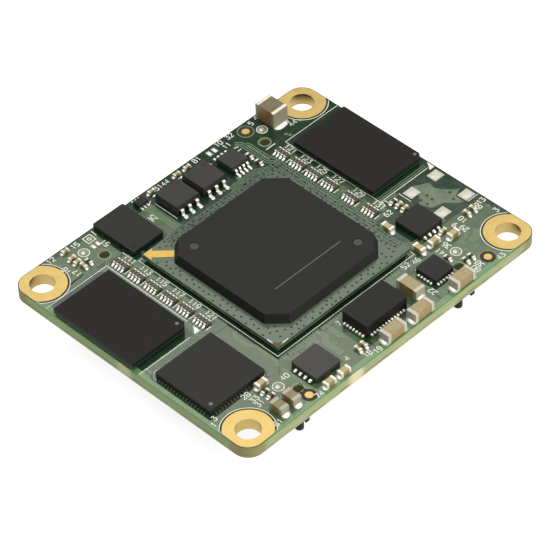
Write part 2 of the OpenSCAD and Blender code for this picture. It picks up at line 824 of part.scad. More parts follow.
module contacts_at(c) {
    color("gold") under(c[0], c[1], c[2]) contact_rows(c[3], 0, 0);
}

module front_connector() { housing_at(connector_spots[0]); }
module rear_connector() { housing_at(connector_spots[1]); }
module side_connector() { housing_at(connector_spots[2]); }
module front_contacts() { contacts_at(connector_spots[0]); }
module rear_contacts() { contacts_at(connector_spots[1]); }
module side_contacts() { contacts_at(connector_spots[2]); }

circuit_board();
mounting_lands();
camera_marks();
test_points();
oscillator_lands();
processor_substrate();
processor_cap();
processor_balls();
processor_gold();
left_memory_mould();
left_memory_substrate();
left_memory_balls();
right_memory_mould();
right_memory_substrate();
right_memory_balls();
network_chip();
network_terminals();
power_module();
power_terminals();
left_regulator();
left_regulator_terminals();
right_regulator();
right_regulator_terminals();
clock_chip();
clock_terminals();
flash_chip();
flash_terminals();
identity_chips();
identity_leads();
supervisor_chip();
supervisor_leads();
logic_gate();
logic_leads();
resistor_arrays();
array_terminals();
bulk_capacitor();
bulk_capacitor_ends();
supply_capacitors();
supply_capacitor_ends();
filter_capacitors();
filter_capacitor_ends();
coupling_capacitors();
coupling_capacitor_ends();
small_capacitors();
small_capacitor_ends();
small_resistors();
small_resistor_ends();
under_capacitors();
under_capacitor_ends();
front_connector();
front_contacts();
rear_connector();
rear_contacts();
side_connector();
side_contacts();
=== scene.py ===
import math
import random

import bpy
from mathutils import Matrix, Vector


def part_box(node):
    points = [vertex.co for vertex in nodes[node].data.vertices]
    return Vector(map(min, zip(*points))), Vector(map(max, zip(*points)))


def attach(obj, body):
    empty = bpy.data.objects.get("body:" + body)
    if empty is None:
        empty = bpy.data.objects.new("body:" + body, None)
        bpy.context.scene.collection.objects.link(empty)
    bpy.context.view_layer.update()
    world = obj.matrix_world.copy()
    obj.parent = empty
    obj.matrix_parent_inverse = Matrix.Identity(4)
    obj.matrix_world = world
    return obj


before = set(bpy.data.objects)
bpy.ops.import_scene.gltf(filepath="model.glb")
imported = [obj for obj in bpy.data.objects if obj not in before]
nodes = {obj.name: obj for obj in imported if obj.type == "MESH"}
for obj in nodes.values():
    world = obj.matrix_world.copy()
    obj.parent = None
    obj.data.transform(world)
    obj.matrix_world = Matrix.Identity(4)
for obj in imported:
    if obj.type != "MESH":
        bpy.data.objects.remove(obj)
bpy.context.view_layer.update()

# The circuit board: glass cloth and resin pressed to a sheet, routed to shape and snapped out of a panel.
# Both faces are printed with green solder mask. The routed edge is bare: pale resin above, tan below, and raw
# cream stubs where two tabs held it in the panel.
MM = 0.001
board_low, board_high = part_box("circuit_board")
TOP = board_high.z / MM
UNDER = board_low.z / MM
HALF_L, HALF_W = board_high.x / MM, board_high.y / MM
MASK_DARK, MASK_LIGHT = (0.0070, 0.021, 0.0105), (0.0105, 0.029, 0.0150)


def make_mottle():
    """Uneven tone for every finish: a mask and a height that drift at the grain asked for."""
    group = bpy.data.node_groups.new("fine mottle", "ShaderNodeTree")
    face = group.interface
    face.new_socket("Scale", in_out="INPUT", socket_type="NodeSocketFloat")
    face.new_socket("Stretch", in_out="INPUT", socket_type="NodeSocketVector")
    face.new_socket("Mask", in_out="OUTPUT", socket_type="NodeSocketFloat")
    face.new_socket("Height", in_out="OUTPUT", socket_type="NodeSocketFloat")
    inside = group.nodes.new("NodeGroupInput")
    out = group.nodes.new("NodeGroupOutput")
    place = group.nodes.new("ShaderNodeTexCoord")
    stretch = group.nodes.new("ShaderNodeVectorMath")
    stretch.operation = "MULTIPLY"
    cloud = group.nodes.new("ShaderNodeTexNoise")
    cloud.inputs["Detail"].default_value = 4.0
    cloud.inputs["Roughness"].default_value = 0.65
    spread = group.nodes.new("ShaderNodeMapRange")
    spread.inputs["From Min"].default_value = 0.32
    spread.inputs["From Max"].default_value = 0.68
    group.links.new(place.outputs["Object"], stretch.inputs[0])
    group.links.new(inside.outputs["Stretch"], stretch.inputs[1])
    group.links.new(stretch.outputs[0], cloud.inputs["Vector"])
    group.links.new(inside.outputs["Scale"], cloud.inputs["Scale"])
    group.links.new(cloud.outputs["Fac"], spread.inputs["Value"])
    group.links.new(spread.outputs["Result"], out.inputs["Mask"])
    group.links.new(cloud.outputs["Fac"], out.inputs["Height"])
    return group


mottle = make_mottle()


def finish(name, dark, light, rough, grain, bump=0.1, metallic=0.0, specular=0.5, stretch=(1, 1, 1)):
    """Colour and roughness that drift between two values over a fine relief. grain is in millimetres."""
    material = bpy.data.materials.new(name)
    material.use_nodes = True
    tree = material.node_tree
    shader = tree.nodes["Principled BSDF"]
    shader.inputs["Metallic"].default_value = metallic
    shader.inputs["Specular IOR Level"].default_value = specular
    tone = tree.nodes.new("ShaderNodeGroup")
    tone.name = "tone"
    tone.node_tree = mottle
    tone.inputs["Scale"].default_value = 1 / (grain * MM)
    tone.inputs["Stretch"].default_value = stretch
    colour = tree.nodes.new("ShaderNodeMix")
    colour.name = "colour"
    colour.data_type = "RGBA"
    colour.inputs["A"].default_value = (*dark, 1)
    colour.inputs["B"].default_value = (*light, 1)
    gloss = tree.nodes.new("ShaderNodeMapRange")
    gloss.name = "gloss"
    gloss.inputs["To Min"].default_value = rough[0]
    gloss.inputs["To Max"].default_value = rough[1]
    relief = tree.nodes.new("ShaderNodeBump")
    relief.inputs["Strength"].default_value = bump
    relief.inputs["Distance"].default_value = grain * MM * 0.3
    tree.links.new(tone.outputs["Mask"], colour.inputs["Factor"])
    tree.links.new(colour.outputs["Result"], shader.inputs["Base Color"])
    tree.links.new(tone.outputs["Mask"], gloss.inputs["Value"])
    tree.links.new(gloss.outputs["Result"], shader.inputs["Roughness"])
    tree.links.new(tone.outputs["Height"], relief.inputs["Height"])
    tree.links.new(relief.outputs["Normal"], shader.inputs["Normal"])
    return material


def dress(node_name, material):
    """Gives a carried-over solid its finish."""
    mesh = nodes[node_name].data
    mesh.materials.clear()
    mesh.materials.append(material)


def soften(node_name, width):
    """Rounds a carried-over solid's sharp edges a little, as moulded, fired or dipped pieces have them."""
    join = nodes[node_name].modifiers.new("join", "WELD")
    join.merge_threshold = 0.0005 * MM
    round_off = nodes[node_name].modifiers.new("round off", "BEVEL")
    round_off.width = width * MM
    round_off.segments = 2
    round_off.limit_method = "ANGLE"
    round_off.angle_limit = math.radians(35)
    round_off.harden_normals = False


def blend_tone(tree, mask, low, high):
    """Mixes two colours, or two colour outputs, by a mask that changes over the surface."""
    mix = tree.nodes.new("ShaderNodeMix")
    mix.data_type = "RGBA"
    tree.links.new(mask, mix.inputs["Factor"])
    for socket, tone in ((mix.inputs["A"], low), (mix.inputs["B"], high)):
        if isinstance(tone, tuple):
            socket.default_value = (*tone, 1)
        else:
            tree.links.new(tone, socket)
    return mix.outputs["Result"]


def sum_up(tree, operation, first, second):
    """One step of arithmetic on a mask. second may be a number."""
    step = tree.nodes.new("ShaderNodeMath")
    step.operation = operation
    tree.links.new(first, step.inputs[0])
    if isinstance(second, (int, float)):
        step.inputs[1].default_value = second
    else:
        tree.links.new(second, step.inputs[1])
    return step.outputs[0]


def ramp(tree, value, start, end, low=0.0, high=1.0):
    """Carries a value that runs from start to end over to one that runs from low to high."""
    step = tree.nodes.new("ShaderNodeMapRange")
    for socket, amount in (("From Min", start), ("From Max", end), ("To Min", low), ("To Max", high)):
        step.inputs[socket].default_value = amount
    tree.links.new(value, step.inputs["Value"])
    return step.outputs["Result"]


def read_surface(tree, kind):
    """Where the surface lies (Object) or which way it faces (Normal): the vector and its three parts."""
    source = tree.nodes.new("ShaderNodeTexCoord" if kind == "Object" else "ShaderNodeNewGeometry")
    parts = tree.nodes.new("ShaderNodeSeparateXYZ")
    tree.links.new(source.outputs[kind], parts.inputs[0])
    return source.outputs[kind], parts.outputs


def two_vectors(tree, operation, first, second):
    """One step of arithmetic on two vectors. second may be three numbers."""
    step = tree.nodes.new("ShaderNodeVectorMath")
    step.operation = operation
    tree.links.new(first, step.inputs[0])
    if isinstance(second, tuple):
        step.inputs[1].default_value = second
    else:
        tree.links.new(second, step.inputs[1])
    return step.outputs


def own_tone(tree):
    """The colour that a finish has before anything is mixed into it."""
    return tree.nodes["colour"].outputs["Result"]


def paint(tree, tone):
    """Gives a finish the colour that its masks have mixed."""
    tree.links.new(tone, tree.nodes["Principled BSDF"].inputs["Base Color"])


def dress_board():
    """The board's own finish: mask on the two faces, bare plies on the routed edge."""
    resin_pale, resin_tan = (0.215, 0.262, 0.100), (0.120, 0.115, 0.040)
    raw_cream, mask_lip, glass_grey = (0.46, 0.42, 0.25), (0.120, 0.225, 0.078), (0.27, 0.285, 0.165)
    corner_olive, left_face_shade = (0.165, 0.136, 0.042), (0.09, 0.21, 0.055)
    bands = ((1.53, 0.12, mask_lip), (0.62, 0.10, glass_grey), (0.14, 0.12, glass_grey))
    ply_drift, corner_radius, edge_rough = 0.9, 3.3, 0.7
    tab_stubs = ((-7.3, -HALF_W), (-HALF_L, 0.4))
    material = finish("board mask", MASK_DARK, MASK_LIGHT, (0.08, 0.13), 0.9, bump=0.02)
    tree = material.node_tree
    _, normal = read_surface(tree, "Normal")
    place, spot = read_surface(tree, "Object")
    on_face = sum_up(tree, "GREATER_THAN", sum_up(tree, "ABSOLUTE", normal["Z"], 0), 0.5)
    plies = tree.nodes.new("ShaderNodeTexNoise")
    plies.inputs["Scale"].default_value = 1 / MM
    plies.inputs["Detail"].default_value = 3
    tree.links.new(two_vectors(tree, "MULTIPLY", place, (0.35, 0.35, 5))[0], plies.inputs["Vector"])
    wander = sum_up(tree, "ADD", sum_up(tree, "MULTIPLY", plies.outputs["Fac"], ply_drift * MM), spot["Z"])
    rise = ramp(tree, wander, (UNDER + 0.85) * MM, (UNDER + 1.45) * MM)
    edge = blend_tone(tree, rise, resin_tan, resin_pale)
    for middle, half, tone in bands:
        level = (UNDER + middle + ply_drift / 2) * MM
        off = sum_up(tree, "ABSOLUTE", sum_up(tree, "SUBTRACT", wander, level), 0)
        edge = blend_tone(tree, ramp(tree, off, (half + 0.1) * MM, half * 0.5 * MM), edge, tone)
    for x, y in tab_stubs:
        reach = two_vectors(tree, "DISTANCE", place, (x * MM, y * MM, (UNDER + 0.9) * MM))["Value"]
        ragged = sum_up(tree, "ADD", sum_up(tree, "MULTIPLY", plies.outputs["Fac"], 1.6 * MM), reach)
        edge = blend_tone(tree, ramp(tree, ragged, 2.4 * MM, 1.6 * MM), edge, raw_cream)
    # The edge's left-facing side is turned a darker green: painted shade on the side that faces away from the
    # light.
    edge = blend_tone(tree, ramp(tree, normal["X"], -0.5, -0.9, high=0.35), edge, left_face_shade)
    past_x = sum_up(tree, "SUBTRACT", sum_up(tree, "ABSOLUTE", spot["X"], 0), (HALF_L - corner_radius) * MM)
    past_y = sum_up(tree, "SUBTRACT", sum_up(tree, "ABSOLUTE", spot["Y"], 0), (HALF_W - corner_radius) * MM)
    corner = ramp(tree, sum_up(tree, "MINIMUM", past_x, past_y), 0, 0.8 * MM, high=0.85)
    edge = blend_tone(tree, corner, edge, corner_olive)
    paint(tree, blend_tone(tree, on_face, edge, own_tone(tree)))
    dull = ramp(tree, on_face, 0, 1, edge_rough, 0)
    rough = sum_up(tree, "MAXIMUM", dull, tree.nodes["gloss"].outputs["Result"])
    tree.links.new(rough, tree.nodes["Principled BSDF"].inputs["Roughness"])
    dress("circuit_board", material)


dress_board()

# The copper under the mask: filled areas, bundles of fine tracks and small plated holes, etched from foil.
# The mask lies over them, so they show as paler green ground, raised by the thickness of the foil.
BED, FOIL, TRACK_TOP, BARE_TOP = -0.004, 0.012, 0.02, 0.022
TRACK_WIDE = 0.13
mask_over_copper = finish("mask over copper", (0.034, 0.060, 0.028), (0.050, 0.082, 0.041), (0.08, 0.14),
                          1.3, bump=0.02)
mask_over_track = finish("mask over track", (0.080, 0.125, 0.070), (0.110, 0.160, 0.095), (0.12, 0.22), 0.8,
                         bump=0.03)
mask_over_laminate = finish("mask over laminate", MASK_DARK, MASK_LIGHT, (0.10, 0.16), 0.9, bump=0.02)
bare_laminate = finish("bare laminate", (0.020, 0.015, 0.006), (0.034, 0.026, 0.011), (0.55, 0.7), 0.4,
                       bump=0.08, specular=0.2)


def plate(outline, low, high):
    """A flat solid on an outline that runs left about its inside. low and high are above the board's top."""
    count = len(outline)
    points = [(x, y, low) for x, y in outline] + [(x, y, high) for x, y in outline]
    faces = [tuple(reversed(range(count))), tuple(range(count, 2 * count))]
    for i in range(count):
        j = (i + 1) % count
        faces.append((i, j, count + j, count + i))
    return points, faces


def round_path(x, y, radius, steps=28, start=0.0, sweep=360.0):
    """Points round a circle, or along a part of it."""
    closed = sweep >= 360
    turns = [math.radians(start + sweep * i / (steps if closed else steps - 1)) for i in range(steps)]
    return [(x + radius * math.cos(t), y + radius * math.sin(t)) for t in turns]


def disc(x, y, radius, low, high, steps=20):
    return plate(round_path(x, y, radius, steps), low, high)


def track(path, width, low, high, closed=False):
    """A strip of even width along a path, mitred at its bends."""
    count = len(path)
    points = []
    for i, (x, y) in enumerate(path):
        headings = []
        if closed or i > 0:
            headings.append((x - path[i - 1][0], y - path[i - 1][1]))
        if closed or i < count - 1:
            ahead = path[(i + 1) % count]
            headings.append((ahead[0] - x, ahead[1] - y))
        headings = [(dx / math.hypot(dx, dy), dy / math.hypot(dx, dy)) for dx, dy in headings]
        dx, dy = sum(h[0] for h in headings), sum(h[1] for h in headings)
        size = math.hypot(dx, dy) or 1.0
        nx, ny = -dy / size, dx / size
        mitre = width / 2 / max(0.6, ny * headings[0][0] - nx * headings[0][1])
        points += [(x + nx * mitre, y + ny * mitre, high), (x - nx * mitre, y - ny * mitre, high),
                   (x - nx * mitre, y - ny * mitre, low), (x + nx * mitre, y + ny * mitre, low)]
    faces = []
    for i in range(count if closed else count - 1):
        a, b = 4 * i, 4 * ((i + 1) % count)
        faces += [(a + 1, b + 1, b, a), (a + 3, b + 3, b + 2, a + 2), (a + 2, b + 2, b + 1, a + 1),
                  (a, b, b + 3, a + 3)]
    if not closed:
        last = 4 * (count - 1)
        faces += [(0, 3, 2, 1), (last + 1, last + 2, last + 3, last)]
    return points, faces


def ring(x, y, inner, outer, low, high, steps=28):
    return track(round_path(x, y, (inner + outer) / 2, steps), outer - inner, low, high, closed=True)


def bundle(path, count, pitch, width, low, high):
    """Parallel tracks: the path is the middle one, and the others keep their distance round the bends."""
    lanes = []
    for lane in range(count):
        side = (lane - (count - 1) / 2) * pitch
        shifted, _ = track(path, 2 * abs(side) + 1e-6, 0, 1)
        pick = 0 if side >= 0 else 1
        lanes.append(track([shifted[4 * i + pick][:2] for i in range(len(path))], width, low, high))
    return lanes


def fix(name, solids, material, smooth=False):
    """Joins small solids into one piece that stays on the board."""
    points, faces = [], []
    for some_points, some_faces in solids:
        base = len(points)
        points += [(x * MM, y * MM, (TOP + z) * MM) for x, y, z in some_points]
        faces += [tuple(base + i for i in face) for face in some_faces]
    mesh = bpy.data.meshes.new(name)
    mesh.from_pydata(points, [], faces)
    mesh.materials.append(material)
    mesh.polygons.foreach_set("use_smooth", [smooth] * len(mesh.polygons))
    made = bpy.data.objects.new(name, mesh)
    bpy.context.scene.collection.objects.link(made)
    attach(made, "root")


HOLE_X, HOLE_Y, LAND_RADIUS = 22.5, 17.5, 3.0
HOLES = [(x, y) for x in (-HOLE_X, HOLE_X) for y in (-HOLE_Y, HOLE_Y)]
PEG_X, PEG_REAR, PEG_FRONT, PEG_RADIUS = 13.9, 15.7, -17.2, 0.68
PEGS = [(x, y) for y in (PEG_REAR, PEG_FRONT) for x in (-PEG_X, PEG_X)]
FILL_X, FILL_Y = 24.4, 19.4


def hole_notch(x, y):
    """The way round the inner side of a corner hole, from the board's end edge to its long edge."""
    inner = math.degrees(math.atan2(-math.copysign(1, y), -math.copysign(1, x)))
    turn = 95 if x * y > 0 else -95
    return round_path(x, y, LAND_RADIUS + 0.14, 16, inner + turn * 0.9, -1.8 * turn)


def peg_notch(x, y, side):
    """Half the way round a peg's hole, upwards, on the side asked for."""
    return round_path(x, y, PEG_RADIUS, 10, -90, 180 * side)


pours = [
    [(-FILL_X, -3.7), (-24.3, -3.7), (-23.6, -3.0), (-16.2, -3.4), (-15.7, -3.9), (-12.3, -3.9),
     (-12.3, -12.3), (-PEG_X, -13.9)]
    + peg_notch(-PEG_X, PEG_FRONT, -1)[::-1] + [(-PEG_X, -FILL_Y)] + hole_notch(-HOLE_X, -HOLE_Y)[::-1],
    [(-11.9, -12.05), (-5.2, -12.05), (-5.2, -13.0), (-2.9, -13.0), (-2.9, -FILL_Y), (-PEG_X, -FILL_Y)]
    + peg_notch(-PEG_X, PEG_FRONT, 1) + [(-PEG_X, -14.15), (-12.1, -12.35)],
    [(-4.9, -12.2), (9.4, -12.2), (9.4, -12.8), (8.2, -14.0), (8.2, -FILL_Y), (-2.6, -FILL_Y),
     (-2.6, -12.8), (-4.9, -12.8)],
    [(PEG_X, -10.9), (FILL_X, -10.9)] + hole_notch(HOLE_X, -HOLE_Y) + [(PEG_X, -FILL_Y)]
    + peg_notch(PEG_X, PEG_FRONT, 1),
    [(PEG_X, -10.9)] + peg_notch(PEG_X, PEG_FRONT, -1)[::-1]
    + [(PEG_X, -FILL_Y), (8.6, -FILL_Y), (8.6, -14.1), (10.2, -12.6), (12.2, -12.6)],
    [(-FILL_X, 14.75), (-PEG_X, 14.75)] + peg_notch(-PEG_X, PEG_REAR, -1) + [(-PEG_X, FILL_Y)]
    + hole_notch(-HOLE_X, HOLE_Y)[::-1],
    [(-PEG_X, 14.75), (-12.2, 14.75), (-12.2, FILL_Y), (-PEG_X, FILL_Y)]
    + peg_notch(-PEG_X, PEG_REAR, 1)[::-1],
    [(-15.95, -3.3), (-15.5, -3.75), (-12.0, -3.75), (-12.0, 12.4), (-12.95, 13.9), (-15.95, 13.9)],
    [(-6.3, 12.4), (-3.7, 12.4), (-3.7, 17.9), (-6.3, 17.9)],
    [(12.75, -4.6), (15.5, -4.6), (15.5, 3.2), (14.9, 3.8), (14.9, 12.0), (12.75, 12.0)],
]
for outline in pours:
    turn = sum(a[0] * b[1] - b[0] * a[1] for a, b in zip(outline, outline[1:] + outline[:1]))
    if turn < 0:
        outline.reverse()
near_edge_highlight = finish("near edge highlight", (0.062, 0.130, 0.056), (0.095, 0.175, 0.082), (0.12, 0.2), 1.0,
                        bump=0.03)
# A paler strip along the left and front edges only: painted highlight where these near edges catch the light.
MARGIN_IN, MARGIN_WIDE, MARGIN_END = 0.45, 0.8, 4.5
margin_x, margin_y = MARGIN_IN - HALF_L, MARGIN_IN - HALF_W
margins = [[(margin_x, HALF_W - MARGIN_END), (margin_x, MARGIN_END - HALF_W)],
           [(MARGIN_END - HALF_L, margin_y), (HALF_L - MARGIN_END, margin_y)]]
fix("pale_margin", [track(path, MARGIN_WIDE, BED, FOIL / 2) for path in margins], near_edge_highlight)
fix("copper_fills", [plate(outline, BED, FOIL) for outline in pours], mask_over_copper)
land_fill = [(19.9, -5.2), (18.7, -6.3), (19.3, -7.8), (21.0, -8.3), (22.1, -9.6), (22.8, -10.0),
             (22.95, -8.5), (24.3, -8.0), (23.7, -7.7), (22.6, -6.4), (22.2, -5.7), (22.4, -4.5),
             (20.6, -3.5)]
land_holes = [(20.55, -5.9), (20.5, -6.8), (19.4, -5.95), (19.45, -6.95), (22.3, -8.7), (22.9, -7.6)]
mask_over_plane = finish("mask over plane", (0.074, 0.100, 0.066), (0.104, 0.132, 0.094), (0.08, 0.14), 1.3,
                         bump=0.02)
fix("land_fill", [plate(land_fill, BED, FOIL)], mask_over_plane)
fix("land_fill_holes", [disc(x, y, 0.23, BED, FOIL + 0.003, 14) for x, y in land_holes], mask_over_laminate)

runs = []
for path, count, pitch in (
    ([(-24.6, -2.55), (-16.4, -2.55), (-14.7, -4.2), (-14.7, -4.5)], 4, 0.27),
    ([(-24.8, 14.35), (-16.4, 14.35), (-15.5, 13.45)], 3, 0.26),
    ([(-12.2, 14.6), (-14.4, 14.6), (-15.0, 14.0)], 2, 0.3),
    ([(11.0, 18.2), (11.6, 17.6), (11.6, 13.0), (12.3, 12.3), (12.3, -4.8)], 3, 0.32),
    ([(12.0, 17.2), (12.25, 16.9), (12.25, 13.0), (12.6, 12.6)], 2, 0.3),
    ([(15.9, -2.2), (24.4, -2.2)], 3, 0.33),
    ([(-11.2, -12.15), (-11.2, -12.7), (-10.4, -13.4), (-6.6, -13.4)], 4, 0.24),
    ([(-12.3, -5.2), (-13.0, -5.9), (-13.0, -8.0), (-12.4, -8.7), (-12.4, -12.2), (-13.0, -12.9)], 2, 0.28),
    ([(-5.6, -12.2), (-5.6, -13.6), (-6.3, -14.3), (-6.3, -17.0)], 3, 0.28),
    ([(-4.4, 12.6), (-4.4, 17.6), (-5.0, 18.2)], 4, 0.3),
    ([(4.8, 12.75), (9.4, 12.75), (10.6, 12.0), (11.0, 11.6)], 3, 0.28),
    ([(-9.5, 12.0), (-6.8, 12.0), (-5.9, 12.3)], 3, 0.26),
    ([(11.9, -5.0), (11.9, -9.5), (13.0, -10.6), (15.0, -10.6)], 3, 0.3),
    ([(18.6, -10.7), (18.6, -9.6), (18.9, -9.3)], 2, 0.3),
    ([(7.4, -12.35), (10.2, -12.35), (10.8, -11.75), (12.0, -11.75)], 3, 0.28),
    ([(16.9, -14.3), (18.4, -14.3), (19.2, -13.5), (20.0, -13.5)], 2, 0.3),
    ([(-4.3, -12.5), (-4.3, -14.7), (-3.6, -15.4), (-3.6, -17.2)], 3, 0.27),
    ([(-10.8, -13.9), (-8.4, -13.9), (-7.9, -14.2), (-7.2, -14.2)], 2, 0.27),
    ([(5.6, -13.0), (6.4, -13.0), (7.2, -13.8), (7.9, -13.8)], 3, 0.27),
    ([(-12.9, -13.6), (-12.9, -16.6), (-13.3, -17.0)], 2, 0.27),
    ([(18.2, -15.2), (19.4, -15.2), (20.3, -14.4)], 3, 0.3),
    ([(16.1, -3.0), (18.2, -3.0)], 2, 0.32),
):
    runs += bundle(path, count, pitch, TRACK_WIDE, BED, TRACK_TOP)
array_columns = {-13.8: (12.8, 10.0, 7.2, 4.4, 1.6, -1.2), 13.8: (12.45, 9.7, 6.95, 4.2, 0.65, -2.7)}
ARRAY_PITCH = 0.52
ARRAY_WAYS = (-1.5, -0.5, 0.5, 1.5)
for x, middles in array_columns.items():
    for y in middles:
        for way in ARRAY_WAYS:
            across = y + way * ARRAY_PITCH
            runs.append(track([(x + 0.5, across), (x + 1.9, across)], TRACK_WIDE, BED, TRACK_TOP))
            runs.append(track([(x - 1.6, across), (x - 0.5, across)], TRACK_WIDE, BED, TRACK_TOP))
lengths = random.Random(5)
COMB_START, COMB_PITCH, COMB_COUNT, COMB_WIDE = -10.8, 0.42, 48, 0.12
for i in range(COMB_COUNT):
    x = COMB_START + COMB_PITCH * i
    longest = 0.55 if -3.2 < x < 5.2 else 1.1
    comb = [(x, -11.98), (x, -12.3 - lengths.uniform(0.1, longest))]
    runs.append(track(comb, COMB_WIDE, BED, TRACK_TOP))
fix("fine_tracks", runs, mask_over_track)

random.seed(7)
vias = [(-6.35, -15.5), (-5.6, -15.2), (-6.5, -16.8), (-8.8, -12.9), (-7.8, -12.95), (9.3, -14.3),
        (9.5, -18.9), (-15.8, 15.0), (-17.6, 15.0), (-23.9, -2.1), (-21.3, -2.05), (-18.4, -2.1),
        (16.6, -15.9), (18.0, -16.3), (17.4, -14.9), (24.3, -12.6), (-14.6, -13.1), (-2.2, 13.2),
        (4.0, 13.1), (6.9, 13.4), (-10.4, 12.6), (11.0, 10.0), (-12.5, 11.2), (-12.5, 5.8)]
vias += [(random.uniform(-24.2, -19.2), random.uniform(-3.2, -2.2)) for _ in range(4)]
vias += [(random.uniform(16.5, 24.5), random.uniform(14.2, 15.6)) for _ in range(3)]
vias += [(random.uniform(12.8, 15.0), random.uniform(-4.4, 12.4)) for _ in range(10)]
fix("plated_holes", [ring(x, y, 0.1, 0.24, BED, 0.024, 14) for x, y in vias], mask_over_track)
fix("plated_hole_mouths", [disc(x, y, 0.11, BED, 0.016, 12) for x, y in vias], bare_laminate)

# The four plated holes and the three camera marks: copper under nickel and a thin wash of gold, free of mask.
# A moat of bare laminate runs round each, and the connectors' pegs come up through six plain drilled holes.
gold_wash = finish("gold wash", (0.465, 0.34, 0.122), (0.54, 0.40, 0.155), (0.36, 0.46), 1.5, bump=0.03,
                   metallic=1.0)
tree = gold_wash.node_tree
facing, normal = read_surface(tree, "Normal")
place, spot = read_surface(tree, "Object")
# Inside each hole, the upper part of the far barrel wall is painted dark brown: painted shade where the wall
# takes little light.
on_barrel = sum_up(tree, "LESS_THAN", sum_up(tree, "ABSOLUTE", normal["Z"], 0), 0.5)
deep = ramp(tree, spot["Z"], (UNDER + 0.3) * MM, (TOP - 0.1) * MM)
inward = two_vectors(tree, "DOT_PRODUCT", facing, place)["Value"]
outer_wall = ramp(tree, inward, -12 * MM, -26 * MM)
painted_barrel_shade = sum_up(tree, "MULTIPLY", sum_up(tree, "MULTIPLY", on_barrel, deep), outer_wall)
paint(tree, blend_tone(tree, painted_barrel_shade, own_tone(tree), (0.075, 0.034, 0.007)))
for name in ("mounting_lands", "camera_marks"):
    dress(name, gold_wash)
MARKS = [(13.65, 18.85), (17.55, -18.65), (-13.8, -18.85)]


def corner_arc(x, y, radius, width, low, high):
    """A ring round a corner hole, open where the board's two edges cut it off."""
    inner_side = math.degrees(math.atan2(-math.copysign(1, y), -math.copysign(1, x)))
    return track(round_path(x, y, radius, 30, inner_side - 93, 186), width, low, high)


MARK_RADIUS, MOAT_RADIUS = 0.5, 1.0
moats = [corner_arc(x, y, LAND_RADIUS + 0.18, 0.25, BED, BARE_TOP) for x, y in HOLES]
moats += [ring(x, y, MARK_RADIUS, MOAT_RADIUS, BED, BARE_TOP) for x, y in MARKS]
fix("bare_moats", moats, bare_laminate)
rims = [ring(x, y, MOAT_RADIUS, MOAT_RADIUS + 0.14, BED, TRACK_TOP) for x, y in MARKS]
rims += [ring(x, y, PEG_RADIUS, PEG_RADIUS + 0.22, BED, TRACK_TOP) for x, y in PEGS]
fix("copper_rims", rims, mask_over_track)

# The processor: a green laminate on solder balls, with a black cap moulded over the die through a gold gate.
# The laminate is drilled all round with fine holes, and its first corner is marked in gold; the white strokes
# along its two edges there are painted highlight.
chip_laminate = finish("chip laminate", (0.040, 0.066, 0.040), (0.057, 0.087, 0.056), (0.12, 0.20), 0.6,
                       bump=0.03)
cap_black = finish("cap black", (0.0080, 0.0078, 0.0076), (0.0120, 0.0117, 0.0114), (0.48, 0.62), 0.06,
                   bump=0.22, specular=0.17)
solder_ball = finish("solder ball", (0.36, 0.36, 0.34), (0.55, 0.55, 0.52), (0.35, 0.5), 0.1, bump=0.15,
                     metallic=1.0)
dress("processor_substrate", chip_laminate)
dress("processor_cap", cap_black)
EDGE_ROUND = 0.05
soften("processor_cap", EDGE_ROUND)
dress("processor_balls", solder_ball)
gate_gold = finish("gate gold", (0.476, 0.306, 0.072), (0.578, 0.39, 0.115), (0.35, 0.5), 0.4, bump=0.08,
                   metallic=1.0)
tree = gate_gold.node_tree
_, spot = read_surface(tree, "Object")
at_first = sum_up(tree, "LESS_THAN", sum_up(tree, "ADD", spot["X"], spot["Y"]), -15 * MM)
paint(tree, blend_tone(tree, at_first, own_tone(tree), (0.10, 0.075, 0.022)))
dress("processor_gold", gate_gold)
LAMINATE_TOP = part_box("processor_substrate")[1].z / MM - TOP
CAP_FOOT, CAP_CORNER, LAMINATE_HALF = 9.95, 17.75, 11.25
DRILL_COUNT, DRILL_GRID, DRILL_STRAY, DRILL_GAP = 150, 0.4, 0.06, 0.62


def near_grid():
    """A place on the drilling grid, a little off as drills wander."""
    step = round(random.uniform(-LAMINATE_HALF, LAMINATE_HALF) / DRILL_GRID)
    return step * DRILL_GRID + random.uniform(-DRILL_STRAY, DRILL_STRAY)


drilled = []
while len(drilled) < DRILL_COUNT:
    x, y = near_grid(), near_grid()
    clear_of_cap = max(abs(x), abs(y)) > CAP_FOOT + 0.2 or abs(x) + abs(y) > CAP_CORNER
    clear_of_gold = abs(x) + abs(y) < 20.5 and not (x < -6 and y > 6 and abs(x + y) < 1.6)
    if clear_of_cap and clear_of_gold and all(math.hypot(x - u, y - v) > DRILL_GAP for u, v in drilled):
        drilled.append((x, y))
drill_dark = finish("drill dark", (0.003, 0.008, 0.005), (0.006, 0.014, 0.009), (0.5, 0.65), 0.2, bump=0.05,
                    specular=0.2)
drillings = [disc(x, y, 0.14, LAMINATE_TOP - 0.01, LAMINATE_TOP + 0.006, 10) for x, y in drilled]
fix("laminate_drillings", drillings, drill_dark)
